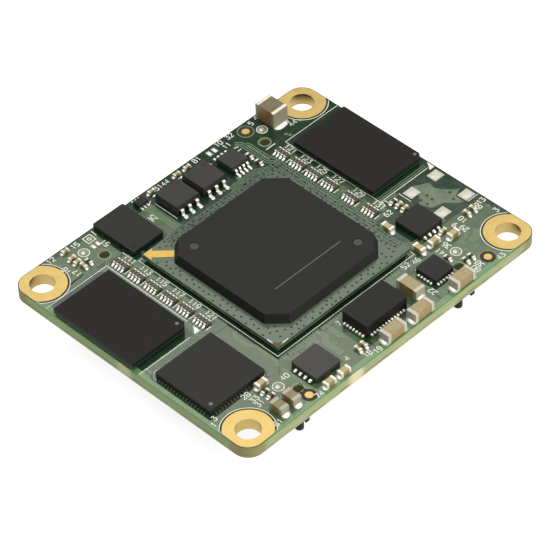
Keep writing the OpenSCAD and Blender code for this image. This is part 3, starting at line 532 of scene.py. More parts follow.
# Dark strokes on the rear and right strips of the laminate, wider at the rear: partly the laminate's own
# etched copper gaps, partly painted shade on these far strips.
etched = random.Random(11)
openings_and_far_shade = []
for strip in ("rear", "right"):
    for row in (10.3, 10.75, 11.2):
        along = -8.0 if strip == "rear" else -10.6
        while along < 11.0:
            along += etched.uniform(0.35, 0.75)
            slant, half = math.radians(etched.choice((0, 0, 45, -45, 90))), etched.uniform(0.12, 0.34)
            u, v = half * math.cos(slant), min(half, 0.16) * math.sin(slant)
            ends = [(along - u, row - v), (along + u, row + v)]
            if strip == "right":
                ends = [(q, p) for p, q in ends]
            if max(abs(c) for end in ends for c in end) < LAMINATE_HALF + 0.15:
                wide = etched.uniform(0.12, 0.26) * (1.7 if strip == "rear" else 1)
                openings_and_far_shade.append(track(ends, wide, LAMINATE_TOP - 0.01, LAMINATE_TOP + 0.004))
laminate_shade = finish("laminate shade", (0.010, 0.021, 0.014), (0.018, 0.034, 0.024), (0.2, 0.3), 0.4,
                        bump=0.03)
fix("laminate_openings_and_far_shade", openings_and_far_shade, laminate_shade)
print_white = finish("print white", (0.44, 0.47, 0.42), (0.57, 0.60, 0.54), (0.5, 0.65), 0.35, bump=0.12)
# Two short white strokes along the laminate's edges at the first corner: painted highlight where those edges
# catch the light.
first_corner_highlights = [
    track([(-11.38, -9.7), (-11.38, -10.6)], 0.14, LAMINATE_TOP - 0.01, LAMINATE_TOP + 0.012),
    track([(-10.7, -11.38), (-9.6, -11.38)], 0.14, LAMINATE_TOP - 0.01, LAMINATE_TOP + 0.012),
]
fix("first_corner_edge_highlights", first_corner_highlights, print_white)

CAP_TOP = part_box("processor_cap")[1].z / MM - TOP
laser_grey = finish("laser grey", (0.050, 0.049, 0.047), (0.085, 0.083, 0.080), (0.5, 0.65), 0.2, bump=0.1)
ejector_grey = finish("ejector grey", (0.026, 0.0255, 0.025), (0.040, 0.039, 0.038), (0.4, 0.55), 0.15,
                      bump=0.15, specular=0.3)
ejectors = [disc(x, -x, 0.56, CAP_TOP - 0.2, CAP_TOP + 0.004, 24) for x in (-7, 7)]
fix("ejector_marks", ejectors, ejector_grey)
rule = track([(-5.6, -5.3), (5.7, -5.3)], 0.13, CAP_TOP - 0.01, CAP_TOP + 0.006)
fix("cap_rule", [rule], laser_grey)

# The two memories: black moulding on a thin green laminate, on solder balls.
# The first corner is cut off and has a shallow round dimple near it.
memory_black = finish("memory black", (0.0060, 0.0056, 0.0056), (0.0095, 0.0088, 0.0088), (0.5, 0.64), 0.06,
                      bump=0.22, specular=0.14)
memory_laminate = finish("memory laminate", (0.008, 0.030, 0.016), (0.013, 0.042, 0.022), (0.5, 0.65), 0.5,
                         bump=0.05, specular=0.2)
for side in ("left", "right"):
    dress(side + "_memory_mould", memory_black)
    soften(side + "_memory_mould", EDGE_ROUND)
    dress(side + "_memory_substrate", memory_laminate)
    dress(side + "_memory_balls", solder_ball)

DIMPLES = [(-16.83, 0.0, "left_memory_mould"), (24.2, -0.45, "right_memory_mould"),
           (-23.16, -12.08, "network_chip")]
dimple_grey = finish("dimple grey", (0.070, 0.068, 0.066), (0.110, 0.108, 0.104), (0.35, 0.5), 0.15,
                     bump=0.1)
dimples = []
for x, y, name in DIMPLES:
    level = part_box(name)[1].z / MM - TOP
    dimples.append(disc(x, y, 0.24, level - 0.1, level + 0.002, 16))
fix("first_pin_dimples", dimples, dimple_grey)

# The leadless chips: black resin moulded over a copper frame and sawn apart, with terminals under the rim.
# Solder climbs each terminal to a small fillet, its brightness a painted highlight. The supply chips' resin
# has more filler and is greyer.
chip_black = finish("chip black", (0.0110, 0.0107, 0.0100), (0.0160, 0.0156, 0.0148), (0.48, 0.6), 0.06,
                    bump=0.22, specular=0.18)
grey_resin = finish("grey resin", (0.026, 0.0255, 0.0245), (0.036, 0.035, 0.034), (0.46, 0.6), 0.06,
                    bump=0.25, specular=0.26)
tin = finish("matte tin", (0.31, 0.30, 0.235), (0.42, 0.41, 0.335), (0.45, 0.6), 0.25, bump=0.15,
             metallic=0.3)
solder = finish("bright solder", (0.62, 0.61, 0.56), (0.80, 0.79, 0.74), (0.26, 0.40), 0.25, bump=0.12,
                metallic=0.55)
# Solder brightened nearly to white for the small fillets and terminals: painted highlight, standing for the
# glint of light on them.
highlight_solder = finish("highlight solder", (0.86, 0.85, 0.80), (0.95, 0.94, 0.90), (0.25, 0.36), 0.25, bump=0.1,
                    metallic=0.2)
sawn_copper = finish("sawn copper", (0.045, 0.036, 0.026), (0.080, 0.066, 0.050), (0.4, 0.55), 0.2,
                     bump=0.1, metallic=0.4)
for name in ("network", "clock", "flash"):
    dress(name + "_chip", chip_black)
for name in ("network", "flash"):
    dress(name + "_terminals", sawn_copper)
dress("power_module", cap_black)
# The power and clock terminals take the brightened solder: painted highlight.
for name in ("power", "clock"):
    dress(name + "_terminals", highlight_solder)
dress("left_regulator", grey_resin)
dress("right_regulator", chip_black)
for side in ("left", "right"):
    dress(side + "_regulator_terminals", tin)
for name in ("network_chip", "clock_chip", "flash_chip", "power_module", "left_regulator",
             "right_regulator"):
    soften(name, EDGE_ROUND)


def swing(x, y, along, across, turn):
    """The point that lies along and across a direction from another point."""
    return (x + along * math.cos(turn) - across * math.sin(turn),
            y + along * math.sin(turn) + across * math.cos(turn))


def fillet(x, y, angle, width, reach, rise):
    """A solder fillet at a chip's foot: highest at the chip, hollow towards its toe, rounded over across."""
    ways, steps = 5, 5
    turn = math.radians(angle)
    points = []
    for level in (1, 0):
        for i in range(steps):
            s = i / (steps - 1)
            for j in range(ways):
                t = 2 * j / (ways - 1) - 1
                along = s * reach * (1 - 0.3 * t * t) - 0.03
                across = t * width / 2 * (1 - 0.14 * s)
                up = rise * (1 - s ** 1.25) * (1 - 0.35 * t * t) + 0.02 if level else -0.01
                points.append((*swing(x, y, along, across, turn), up))
    faces = []
    deck = ways * steps
    for i in range(steps - 1):
        for j in range(ways - 1):
            a = i * ways + j
            faces += [(a, a + ways, a + ways + 1, a + 1),
                      (deck + a, deck + a + 1, deck + a + ways + 1, deck + a + ways)]
    rim = [j for j in range(ways)] + [i * ways + ways - 1 for i in range(1, steps)]
    rim += [deck - 1 - j for j in range(1, ways)] + [i * ways for i in range(steps - 2, 0, -1)]
    for a, b in zip(rim, rim[1:] + rim[:1]):
        faces.append((a, b, deck + b, deck + a))
    return points, faces


def middle(name):
    """A carried-over solid's middle, and its half length and half width."""
    low, high = (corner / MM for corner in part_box(name))
    return (low.x + high.x) / 2, (low.y + high.y) / 2, (high.x - low.x) / 2, (high.y - low.y) / 2


def side_row(name, angle, count, pitch, width, reach, rise):
    """One fillet at each terminal along the side of a chip that faces angle."""
    x, y, half_x, half_y = middle(name)
    half = half_y if angle % 180 else half_x
    turn = math.radians(angle)
    rows = []
    for i in range(count):
        t = (i - (count - 1) / 2) * pitch
        rows.append(fillet(*swing(x, y, half, t, turn), angle, width, reach, rise))
    return rows


joints, rim_wets = [], []
for angle in (0, 90, 180, 270):
    rim_wets += side_row("network_chip", angle, 16, 0.5, 0.23, 0.38, 0.05)
for angle, count in ((180, 7), (0, 7), (270, 12), (90, 12)):
    joints += side_row("power_module", angle, count, 0.5, 0.3, 0.31, 0.25)
for name, angles in (("left_regulator", (0, 180)), ("right_regulator", (90, 270))):
    for angle in angles:
        joints += side_row(name, angle, 4, 0.8, 0.44, 0.46, 0.26)
for angle, count in ((270, 6), (90, 6), (180, 5), (0, 5)):
    joints += side_row("clock_chip", angle, count, 0.5, 0.28, 0.28, 0.23)
fix("chip_fillets", joints, highlight_solder, smooth=True)
pad_dull = finish("pad dull", (0.060, 0.066, 0.036), (0.120, 0.126, 0.078), (0.35, 0.5), 0.3, bump=0.12,
                  metallic=0.3)
fix("network_fillets", rim_wets, pad_dull, smooth=True)


def clearing_with_shade(x, y, long, wide):
    """A dark patch round a part's pads: partly mask on dark laminate where the copper is etched away, partly
    painted shade round the part's foot.
    """
    a, b, cut = long / 2, wide / 2, 0.15
    outline = [(-a + cut, -b), (a - cut, -b), (a, -b + cut), (a, b - cut), (a - cut, b), (-a + cut, b),
               (-a, b - cut), (-a, -b + cut)]
    return plate([(x + u, y + v) for u, v in outline], BED, FOIL + 0.003)


# Dark patches round the chips: partly etched copper, partly painted shade at their feet.
chip_grounds = {"network_chip": (10.15, 10.15), "left_regulator": (5.5, 3.6), "right_regulator": (3.6, 5.5),
                "clock_chip": (4.3, 4.3), "power_module": (8.1, 5.1)}
clearings_with_shade = [clearing_with_shade(*middle(name)[:2], *size) for name, size in chip_grounds.items()]
fix("chip_clearings_with_shade", clearings_with_shade, mask_over_laminate)

# The leaded chips: two in the rear row, a smaller one beside them and a tiny one at the flash chip's corner.
# Resin moulded round a stamped frame, with the leads bent down, tinned and soldered at their feet.
lead_resin = finish("lead resin", (0.019, 0.0185, 0.0175), (0.028, 0.027, 0.026), (0.46, 0.6), 0.06,
                    bump=0.3, specular=0.22)
for name in ("identity_chips", "supervisor_chip"):
    dress(name, lead_resin)
    soften(name, EDGE_ROUND)
dress("logic_gate", chip_black)
for name in ("identity_leads", "supervisor_leads", "logic_leads"):
    dress(name, solder)
feet = []
lead_low, lead_high = (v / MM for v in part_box("identity_leads"))
for chip_x in (-1.22, 3.42):
    for step in (-1.27, 0, 1.27):
        feet.append(fillet(chip_x + step, lead_low.y + 0.12, 270, 0.62, 0.34, 0.14))
        feet.append(fillet(chip_x + step, lead_high.y - 0.12, 90, 0.62, 0.3, 0.14))
lead_low, lead_high = (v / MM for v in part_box("supervisor_leads"))
chip_x = middle("supervisor_chip")[0]
for step in (-0.975, -0.325, 0.325, 0.975):
    feet.append(fillet(chip_x + step, lead_low.y + 0.1, 270, 0.4, 0.3, 0.12))
    feet.append(fillet(chip_x + step, lead_high.y - 0.1, 90, 0.4, 0.26, 0.12))
fix("lead_fillets", feet, solder, smooth=True)

# The chip resistors: arrays of four in two columns beside the processor, and single ones.
# Fired resistor film under dark glass on a ceramic chip, with tinned ends that the solder wets.
dark_glass = finish("dark glass", (0.010, 0.009, 0.007), (0.018, 0.016, 0.013), (0.28, 0.42), 0.3, bump=0.1)
chip_ceramic = finish("chip ceramic", (0.048, 0.044, 0.034), (0.085, 0.078, 0.062), (0.4, 0.55), 0.25,
                      bump=0.1)
dress("resistor_arrays", chip_ceramic)
dress("small_resistors", dark_glass)
clean_tin = finish("clean tin", (0.48, 0.47, 0.395), (0.63, 0.62, 0.54), (0.4, 0.55), 0.25, bump=0.15,
                   metallic=0.3)
for name in ("array_terminals", "small_resistor_ends"):
    dress(name, clean_tin)
END_ROUND = 0.07
soften("small_resistor_ends", END_ROUND)
ARRAY_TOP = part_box("resistor_arrays")[1].z / MM - TOP
near_feet, far_feet, films, clearings_with_shade = [], [], [], []
for x, middles in array_columns.items():
    for y in middles:
        # Each array gets a dark patch as well: partly bare laminate under the mask, partly painted shade
        # among the arrays.
        clearings_with_shade.append(clearing_with_shade(x - 0.05, y, 2.3, 2.35))
        for way in ARRAY_WAYS:
            across = y + way * ARRAY_PITCH
            near_feet.append(fillet(x - 0.5, across, 180, 0.31, 0.5, 0.3))
            far_feet.append(fillet(x + 0.5, across, 0, 0.31, 0.4, 0.3))
            film = [(x - 0.27, across), (x + 0.3, across)]
            films.append(track(film, 0.3, ARRAY_TOP - 0.01, ARRAY_TOP + 0.008))
# Near fillets take the brightened solder and far ones plain tin: painted highlight on the near side, painted
# shade on the far side.
fix("array_fillets", near_feet, highlight_solder, smooth=True)
fix("array_far_fillets", far_feet, tin, smooth=True)
fix("array_films", films, dark_glass)
fix("array_clearings_with_shade", clearings_with_shade, mask_over_laminate)


def end_joints(x, y, angle, length, width, height, reach):
    """The two fillets of a part with a tinned end on each side."""
    turn = math.radians(angle)
    both = []
    for side, way in ((1, angle), (-1, angle + 180)):
        foot = swing(x, y, side * length / 2, 0, turn)
        both.append(fillet(*foot, way, width * 1.04, reach, min(height * 0.4, reach * 0.7)))
    return both


ends = []
for x, y, angle in ((-17, -14.8, 0), (-17, -15.75, 0), (15.2, -17.2, 90), (16.15, -17.2, 90),
                    (14, -15.3, 90), (-16.1, 16.1, 90), (10.65, 15.2, 90), (10.65, 13.5, 90),
                    (16.8, -3.7, 0)):
    ends += end_joints(x, y, angle, 1.0, 0.5, 0.35, 0.3)

# The chip capacitors: many thin layers of tan ceramic fired together, with tinned ends, soldered at each end.
# The tall one stands by the rear right hole, the larger ones line the front edge.


def fired(name, dark, light, shaded_side_dark, shaded_side_light):
    """Fired ceramic with its sides painted browner than its top: painted shade on the faces turned away from
    the overhead light.
    """
    material = finish(name, dark, light, (0.36, 0.5), 0.5, bump=0.12, stretch=(1, 1, 3))
    tree = material.node_tree
    _, normal = read_surface(tree, "Normal")
    side = blend_tone(tree, tree.nodes["tone"].outputs["Mask"], shaded_side_dark, shaded_side_light)
    paint(tree, blend_tone(tree, ramp(tree, normal["Z"], 0.3, 0.8), side, own_tone(tree)))
    return material


cream_ceramic = fired("cream ceramic", (0.242, 0.198, 0.093), (0.314, 0.262, 0.130), (0.19, 0.130, 0.047),
                      (0.246, 0.175, 0.067))
tan_ceramic = fired("tan ceramic", (0.192, 0.152, 0.076), (0.254, 0.203, 0.105), (0.17, 0.110, 0.040),
                    (0.23, 0.150, 0.056))
filter_ceramic = fired("filter ceramic", (0.122, 0.098, 0.049), (0.162, 0.131, 0.067), (0.17, 0.115, 0.042),
                       (0.22, 0.150, 0.056))
bulk_ceramic = fired("bulk ceramic", (0.084, 0.067, 0.034), (0.114, 0.092, 0.046), (0.140, 0.074, 0.018),
                     (0.190, 0.105, 0.027))
for name in ("coupling", "small", "under"):
    dress(name + "_capacitors", cream_ceramic)
    dress(name + "_capacitor_ends", clean_tin)
dress("supply_capacitors", tan_ceramic)
dress("supply_capacitor_ends", tin)
dress("filter_capacitors", filter_ceramic)
worn_tin = finish("worn tin", (0.235, 0.235, 0.165), (0.32, 0.32, 0.235), (0.45, 0.6), 0.25, bump=0.15,
                  metallic=0.3)
dress("filter_capacitor_ends", worn_tin)
BULK_X, BULK_Y, HALF_WIDE, HALF_LONG = middle("bulk_capacitor_ends")
BAND = 0.5
band_light, band_dark = (0.56, 0.54, 0.44), (0.46, 0.44, 0.35)
tree = bulk_ceramic.node_tree
_, normal = read_surface(tree, "Normal")
_, spot = read_surface(tree, "Object")
from_middle = sum_up(tree, "ABSOLUTE", sum_up(tree, "SUBTRACT", spot["Y"], BULK_Y * MM), 0)
in_band = sum_up(tree, "GREATER_THAN", from_middle, (HALF_LONG - BAND) * MM)
# The tinned band's sides are painted darker than its top: painted shade.
band_shaded_sides = blend_tone(tree, sum_up(tree, "GREATER_THAN", normal["Z"], 0.5), (0.17, 0.148, 0.098), band_light)
side_shaded_tone = tree.nodes["Principled BSDF"].inputs["Base Color"].links[0].from_socket
paint(tree, blend_tone(tree, in_band, side_shaded_tone, band_shaded_sides))
dress("bulk_capacitor", bulk_ceramic)
dipped_end = fired("dipped end", band_dark, band_light, (0.185, 0.178, 0.115), (0.255, 0.247, 0.168))
dress("bulk_capacitor_ends", dipped_end)
for size in ("coupling", "small", "under", "supply", "filter", "bulk"):
    soften(size + "_capacitor_ends", END_ROUND)
for x, y, angle in ((-17.2, 17.95, 0), (-17.2, 17, 0), (-16.95, 19.45, 0), (-17.1, 15.95, 90),
                    (-4.65, -18, 90), (-3.65, -18, 90), (17, -11.75, 0), (21.4, -11.75, 90),
                    (22.5, -11.75, 90), (16.8, -4.65, 0), (16.8, -5.6, 0), (-2.4, 19.4, 0),
                    (1.95, 19.35, 0), (3.75, 19.35, 0)):
    ends += end_joints(x, y, angle, 1.0, 0.5, 0.5, 0.3)
for x, y, angle in ((-11, -19.425, 0), (-8.55, -19.425, 0), (14.75, -12.3, 0), (17.35, -13.15, 0),
                    (12.65, -11.85, 90), (12.75, -6.55, 90), (-16.6, -13.75, 0)):
    ends += end_joints(x, y, angle, 1.6, 0.85, 0.8, 0.36)
for x, y, angle in ((0, -19.3, 0), (4.75, -19.3, 0), (12.1, -19.3, 0), (6.85, -15.8, 90)):
    ends += end_joints(x, y, angle, 3.2, 1.5, 1.1, 0.45)
for x in (-15.9, -17.95):
    ends += end_joints(x, -18.05, 90, 2.0, 1.22, 0.8, 0.52)
ends.append(fillet(BULK_X, BULK_Y - HALF_LONG, 270, 2 * HALF_WIDE, 0.66, 0.24))
ends.append(fillet(BULK_X, BULK_Y + HALF_LONG, 90, 2 * HALF_WIDE, 0.4, 0.28))
fix("end_fillets", ends, solder, smooth=True)

# Lands without a part: four of an empty oscillator place, two bare pairs at the rear and four test points.
# Bare copper dipped in solder, which dries to a soft uneven dome.
dress("oscillator_lands", tin)
dull_tin = finish("dull tin", (0.12, 0.13, 0.10), (0.20, 0.21, 0.17), (0.4, 0.6), 0.2, bump=0.2,
                  metallic=0.4)
dress("test_points", dull_tin)


def mound(x, y, long, wide, rise, angle=0.0):
    """A low dome of solder on a land."""
    steps, rings, foot = 18, 4, 0.025
    turn = math.radians(angle)
    points, faces = [], []
    for k in range(rings):
        lift = math.radians(90 * k / rings)
        for i in range(steps):
            t = 2 * math.pi * i / steps
            a, b = long / 2 * math.cos(lift) * math.cos(t), wide / 2 * math.cos(lift) * math.sin(t)
            points.append((*swing(x, y, a, b, turn), rise * math.sin(lift) + foot))
    points.append((x, y, rise + foot))
    for k in range(rings - 1):
        for i in range(steps):
            j = (i + 1) % steps
            faces.append((k * steps + i, k * steps + j, (k + 1) * steps + j, (k + 1) * steps + i))
    last = (rings - 1) * steps
    faces += [(last + i, last + (i + 1) % steps, rings * steps) for i in range(steps)]
    faces.append(tuple(reversed(range(steps))))
    return points, faces


TEST_POINTS = [(15.35, 17.6), (15.6, -15.2), (-15.3, -15.3), (-15.4, 17.75)]
BARE_PAIRS = (((7.6, 8.5), 19.25, (0.6, 0.9), (0.5, 0.8, 0.1)),
              ((-13.85, -13.1), 17.7, (0.5, 0.8), (0.42, 0.7, 0.08)))
LAND_TOP = 0.03
domes, bare = [], []
for columns, y, (long, wide), dome in BARE_PAIRS:
    for x in columns:
        x0, x1, y0, y1 = x - long / 2, x + long / 2, y - wide / 2, y + wide / 2
        domes.append(mound(x, y, *dome))
        bare.append(plate([(x0, y0), (x1, y0), (x1, y1), (x0, y1)], BED, LAND_TOP))
fix("solder_domes", domes, solder, smooth=True)
wide_domes = [mound(x, y, 1.6, 1.4, 0.05) for x in (19.6, 23.95) for y in (-4.2, -9.35)]
wide_domes += [mound(x - 0.1, y + 0.08, 0.8, 0.66, 0.12, 35) for x, y in TEST_POINTS]
dipped_solder = finish("dipped solder", (0.36, 0.375, 0.335), (0.46, 0.475, 0.43), (0.34, 0.48), 0.4,
                       bump=0.15, metallic=0.4)
fix("wide_solder_domes", wide_domes, dipped_solder, smooth=True)
fix("bare_pair", bare, tin)

# The white print: epoxy ink screened over the mask. Outlines round the larger chips, rings round the holes,
# a filled corner at each first pin, a plain square and plain numbers beside the parts.
INK = 0.03
OUTLINE, HEAVY, STROKE = 0.09, 0.13, 0.115
STROKES = {
    "0": [(0, .15), (0, .85), (.15, 1), (.45, 1), (.6, .85), (.6, .15), (.45, 0), (.15, 0), (0, .15)],
    "1": [(.12, .8), (.34, 1), (.34, 0)],
    "2": [(0, .85), (.15, 1), (.45, 1), (.6, .85), (.6, .62), (0, 0), (.6, 0)],
    "3": [(0, 1), (.6, 1), (.28, .6), (.45, .6), (.6, .45), (.6, .15), (.45, 0), (.15, 0), (0, .13)],
    "4": [(.45, 0), (.45, 1), (0, .3), (.6, .3)],
    "5": [(.6, 1), (0, 1), (0, .57), (.42, .57), (.6, .42), (.6, .15), (.45, 0), (0, 0)],
    "6": [(.5, 1), (.2, 1), (0, .7), (0, .15), (.15, 0), (.45, 0), (.6, .15), (.6, .42), (.45, .56),
          (0, .56)],
    "7": [(0, 1), (.6, 1), (.2, 0)],
    "8": [(.15, .54), (0, .7), (0, .87), (.15, 1), (.45, 1), (.6, .87), (.6, .7), (.45, .54), (.6, .4),
          (.6, .14), (.45, 0), (.15, 0), (0, .14), (0, .4), (.15, .54), (.45, .54)],
    "9": [(.1, 0), (.4, 0), (.6, .3), (.6, .85), (.45, 1), (.15, 1), (0, .85), (0, .58), (.15, .44),
          (.6, .44)],
}


def number(text, x, y, angle=0, size=0.72):
    """Plain numbers drawn with one even stroke, centred on a point."""
    turn = math.radians(angle)
    step = 0.85
    shift = -((len(text) - 1) * step + 0.6) / 2
    drawn = []
    for i, sign in enumerate(text):
        path = []
        for u, v in STROKES[sign]:
            a, b = (u + shift + i * step) * size, (v - 0.5) * size
            path.append(swing(x, y, a, b, turn))
        drawn.append(track(path, STROKE, BED, INK))
    return drawn


def line(*path, width=OUTLINE):
    return track(list(path), width, BED, INK)


ink = [corner_arc(x, y, LAND_RADIUS + 0.37, 0.1, BED, INK) for x, y in HOLES]
ink += [ring(x, y, 0.62, 0.76, BED, INK) for x, y in TEST_POINTS]
ink += [
    track([(-11.82, -11.82), (11.82, -11.82), (11.82, 11.82), (-11.82, 11.82)], OUTLINE, BED, INK,
          closed=True),
    line((-25.0, 14.05), (-15.05, 14.05), (-15.05, 0.1)),
    line((-25.0, -2.0), (-16.7, -2.0)),
    plate([(-16.0, -2.05), (-15.05, -2.05), (-15.05, -0.9)], BED, INK),
    line((25.05, 13.8), (15.72, 13.8), (15.72, -2.55), (24.2, -2.55)),
    plate([(24.2, -3.0), (25.05, -3.0), (25.05, -1.75)], BED, INK),
    line((-24.3, -4.2), (-24.3, -3.7), (-23.6, -3.0), (-23.0, -3.0), width=0.06),
    line((-15.2, -12.9), (-14.7, -12.4)),
    line((-1.7, 18.75), (4.5, 18.75), width=HEAVY),
    line((-3.4, 13.7), (-3.4, 17.6)),
    line((18.4, -3.1), (18.4, -5.2)),
    line((25.0, -10.3), (23.2, -10.3)),
    line((-12.15, 12.9), (-12.15, 14.3), width=HEAVY),
    line((-12.2, 18.9), (-12.2, 19.9), width=HEAVY),
    line((13.0, 14.55), (14.6, 14.55), width=HEAVY),
    line((-4.1, 18.0), (-3.5, 18.4), width=HEAVY),
    line((6.2, 18.6), (6.4, 17.6), width=HEAVY),
]
for half in (0.2, 0.58):
    square = [(-13.3 + u * half, 19.05 + v * half) for u, v in ((-1, -1), (1, -1), (1, 1), (-1, 1))]
    ink.append(track(square, 0.12, BED, INK, closed=True))
for x, middles in array_columns.items():
    for i, y in enumerate(middles):
        ink.append(line((x - 0.8, y - 1.34), (x + 0.1, y - 1.34), width=0.12))
        ink += number(str((111 if x < 0 else 121) + 2 * i), x + 1.42, y, -90)
for text, x, y, angle in (
    ("12", -19.1, 19.7, 0), ("17", -18.35, 15.75, 90), ("15", -15.3, 19.45, 0), ("51", -12.45, 17.1, 90),
    ("18", -19.0, 17.0, 90), ("3", -24.0, -13.45, 0), ("1", -24.75, -14.1, 0), ("28", -18.95, -13.55, 0),
    ("33", -18.65, -14.65, 0), ("31", -18.65, -15.6, 0), ("40", -13.65, -14.7, 0), ("4", -6.5, -17.95, 0),
    ("61", -19.4, -19.25, 0), ("74", -12.9, -19.65, 0), ("7", -3.0, -13.3, 0), ("18", -4.3, -19.25, 0),
    ("19", -3.0, -19.65, 0), ("22", 8.6, -17.8, 90), ("52", 9.6, -12.45, 0), ("46", 11.1, -12.75, 0),
    ("41", 14.25, -13.8, 90), ("36", 15.6, -13.65, 90), ("9", 18.95, -11.95, 90), ("29", 19.3, -13.2, 90),
    ("10", 20.35, -12.0, 90), ("66", 23.35, -11.75, 90), ("13", 24.35, -11.4, 0), ("3", 24.4, -13.85, 0),
    ("80", 15.0, -18.95, 90), ("38", 15.95, -18.75, 90), ("43", 18.75, -19.7, 0), ("3144", -0.5, 19.5, 0),
    ("81", 5.7, 19.65, 0), ("10", 9.7, 19.75, 0), ("32", 11.6, 19.75, 0), ("11", 10.15, 18.75, 0),
    ("17", 10.65, 17.25, 90), ("25", -5.4, 16.0, 90), ("5", 15.2, 19.45, 0), ("4", 16.35, 19.75, 0),
    ("44", 18.9, 15.65, 0), ("71", 16.0, -3.1, 0), ("62", 14.9, -4.6, 0),
):
    ink += number(text, x, y, angle)
fix("white_print", ink, print_white)

# The three connectors under the board: black moulded housings with gold contacts in two rows.
# Each is soldered along its rows and located by two pegs in the board.
housing_black = finish("housing black", (0.012, 0.012, 0.013), (0.022, 0.022, 0.023), (0.4, 0.55), 0.2,
                       bump=0.1, specular=0.1)
contact_gold = finish("contact gold", (0.66, 0.45, 0.14), (0.80, 0.57, 0.21), (0.25, 0.4), 0.3, bump=0.08,
                      metallic=1.0)
tree = housing_black.node_tree
_, spot = read_surface(tree, "Object")
in_board = sum_up(tree, "GREATER_THAN", spot["Z"], (UNDER + 0.1) * MM)
# Where the pegs stand inside the board's holes the black housing is painted dark brown: painted reflection of
# the holes' laminate walls and painted shade in the holes.
paint(tree, blend_tone(tree, in_board, own_tone(tree), (0.026, 0.016, 0.003)))
for side in ("front", "rear", "side"):
    dress(side + "_connector", housing_black)
    dress(side + "_contacts", contact_gold)

# The underside: mask over copper, plated holes among the small capacitors behind the processor, and print.
# The capacitors are soldered like those above, and a white outline runs round each connector.
def turn_under(solids):
    """Turns solids made for the board's top over to its underside."""
    drop = UNDER - TOP
    turned = []
    for points, faces in solids:
        turned.append(([(x, y, drop - z) for x, y, z in points], [tuple(reversed(face)) for face in faces]))
    return turned


under_spots = [(3.2 * i, 2.6 * j) for i in range(-2, 3) for j in range(-2, 3) if i or j]
fill = [(-11.5, -9.0), (-10.5, -10.0), (21.0, -10.0), (23.0, -8.0), (23.0, 8.0), (21.0, 10.0),
        (-10.5, 10.0), (-11.5, 9.0)]
fix("under_fill", turn_under([plate(fill, BED, FOIL)]), mask_over_copper)
ends = []
for x, y in under_spots:
    ends += end_joints(x, y, 0, 1.0, 0.5, 0.5, 0.3)
fix("under_fillets", turn_under(ends), solder, smooth=True)
under_vias = []
for i in range(20):
    for j in range(18):
        x, y = i - 9.5, j - 8.5
        if all(abs(x - u) > 1.15 or abs(y - v) > 0.6 for u, v in under_spots):
            under_vias.append((x, y))
under_vias += [(x, y) for x in (13.0, 14.6, 16.2, 17.8, 19.4) for y in (-6.5, -2.0, 2.5, 7.0)]
under_rings = [ring(x, y, 0.11, 0.24, BED, 0.024, 10) for x, y in under_vias]
under_mouths = [disc(x, y, 0.12, BED, 0.016, 10) for x, y in under_vias]
fix("under_plated_holes", turn_under(under_rings), mask_over_track)
fix("under_hole_mouths", turn_under(under_mouths), bare_laminate)
PRINT_GAP, EDGE_GAP = 0.35, 0.25
under_ink = []
for side, text in (("front", "1"), ("rear", "2"), ("side", "3")):
    near, far = (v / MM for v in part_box(side + "_connector"))
    x0, x1 = max(near.x - PRINT_GAP, EDGE_GAP - HALF_L), min(far.x + PRINT_GAP, HALF_L - EDGE_GAP)
    y0, y1 = max(near.y - PRINT_GAP, EDGE_GAP - HALF_W), min(far.y + PRINT_GAP, HALF_W - EDGE_GAP)
    under_ink.append(track([(x0, y0), (x1, y0), (x1, y1), (x0, y1)], OUTLINE, BED, INK, closed=True))
    spot = ((x0 + x1) / 2, y0 - 0.8 if side == "rear" else y1 + 0.8)
    points, faces = number(text, *spot)[0]
    mirrored = [(2 * spot[0] - x, y, z) for x, y, z in points]
    under_ink.append((mirrored, [tuple(reversed(face)) for face in faces]))
fix("under_print", turn_under(under_ink), print_white)

# The table: a pale opal sheet, lit softly from beneath as for small product shots.
# A large flat sheet of white plastic, a hair below the connectors that the part stands on.
bpy.ops.mesh.primitive_plane_add(size=6, location=(0, 0, -0.00002))
table = bpy.context.object
table.name = "table"
opal = finish("opal sheet", (0.26, 0.26, 0.26), (0.29, 0.29, 0.29), (0.7, 0.85), 40, bump=0.02)
glow = opal.node_tree.nodes["Principled BSDF"]
opal.node_tree.links.new(own_tone(opal.node_tree), glow.inputs["Emission Color"])
glow.inputs["Emission Strength"].default_value = 3.1
table.data.materials.append(opal)


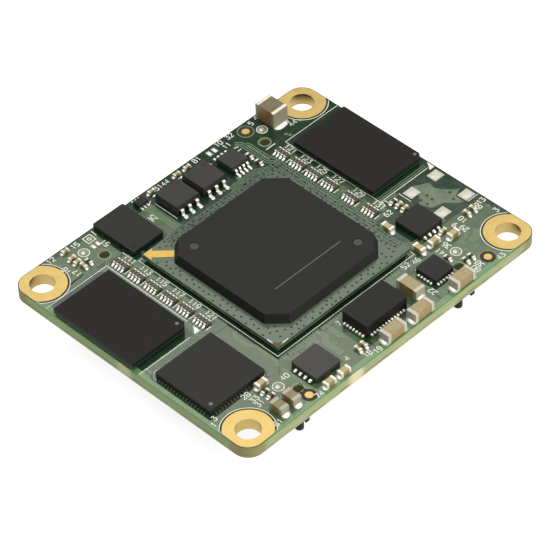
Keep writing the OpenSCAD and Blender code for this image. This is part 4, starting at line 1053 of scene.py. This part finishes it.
# The light: one broad soft box overhead, a smaller one low in front, and a dim pale room.
# Both boxes are white cloth over lamps, a little warm.
def soft_box(name, where, turn, size, power):
    light = bpy.data.lights.new(name, "AREA")
    light.shape = "RECTANGLE"
    light.size, light.size_y = size
    light.energy = power
    light.color = (1.0, 0.975, 0.92)
    holder = bpy.data.objects.new(name, light)
    bpy.context.scene.collection.objects.link(holder)
    holder.location = where
    holder.rotation_euler = turn
    return holder


azimuth, elevation, roll = math.radians(-44.14), math.radians(44.402), math.radians(-2.013)
away = Vector((-math.sin(azimuth), math.cos(azimuth), 0))
soft_box("overhead_box", away * 0.082 + Vector((0, 0, 0.5)), (0, 0, azimuth), (1.0, 0.884), 7.2)
soft_box("front_fill", (0.12, -0.62, 0.26), (math.radians(67), 0, math.radians(11)), (0.6, 0.4), 4.0)
world = bpy.data.worlds.new("pale room")
bpy.context.scene.world = world
world.use_nodes = True
world.node_tree.nodes["Background"].inputs["Color"].default_value = (1, 1, 1, 1)
world.node_tree.nodes["Background"].inputs["Strength"].default_value = 0.2

# The camera: a long lens at the photograph's own angle.
# It stands 0.4 m away, looks down at 44 degrees and is rolled by two degrees.
reach = 396.53 * MM
aim = Vector((-2.268 * MM, -1.972 * MM, TOP * MM))
image_side, focal, film = 550, 3286.85, 36
back = Vector((math.sin(azimuth) * math.cos(elevation), -math.cos(azimuth) * math.cos(elevation),
               math.sin(elevation)))
level_right = Vector((math.cos(azimuth), math.sin(azimuth), 0))
level_up = back.cross(level_right)
right = level_right * math.cos(roll) + level_up * math.sin(roll)
up = back.cross(right)
lens = bpy.data.cameras.new("camera")
lens.sensor_width = film
lens.lens = focal / image_side * film
lens.clip_start = 0.01
camera = bpy.data.objects.new("camera", lens)
camera.matrix_world = Matrix((
    (right.x, up.x, back.x, aim.x + back.x * reach),
    (right.y, up.y, back.y, aim.y + back.y * reach),
    (right.z, up.z, back.z, aim.z + back.z * reach),
    (0, 0, 0, 1),
))
bpy.context.scene.collection.objects.link(camera)
bpy.context.scene.camera = camera
bpy.context.scene.view_settings.view_transform = "Standard"
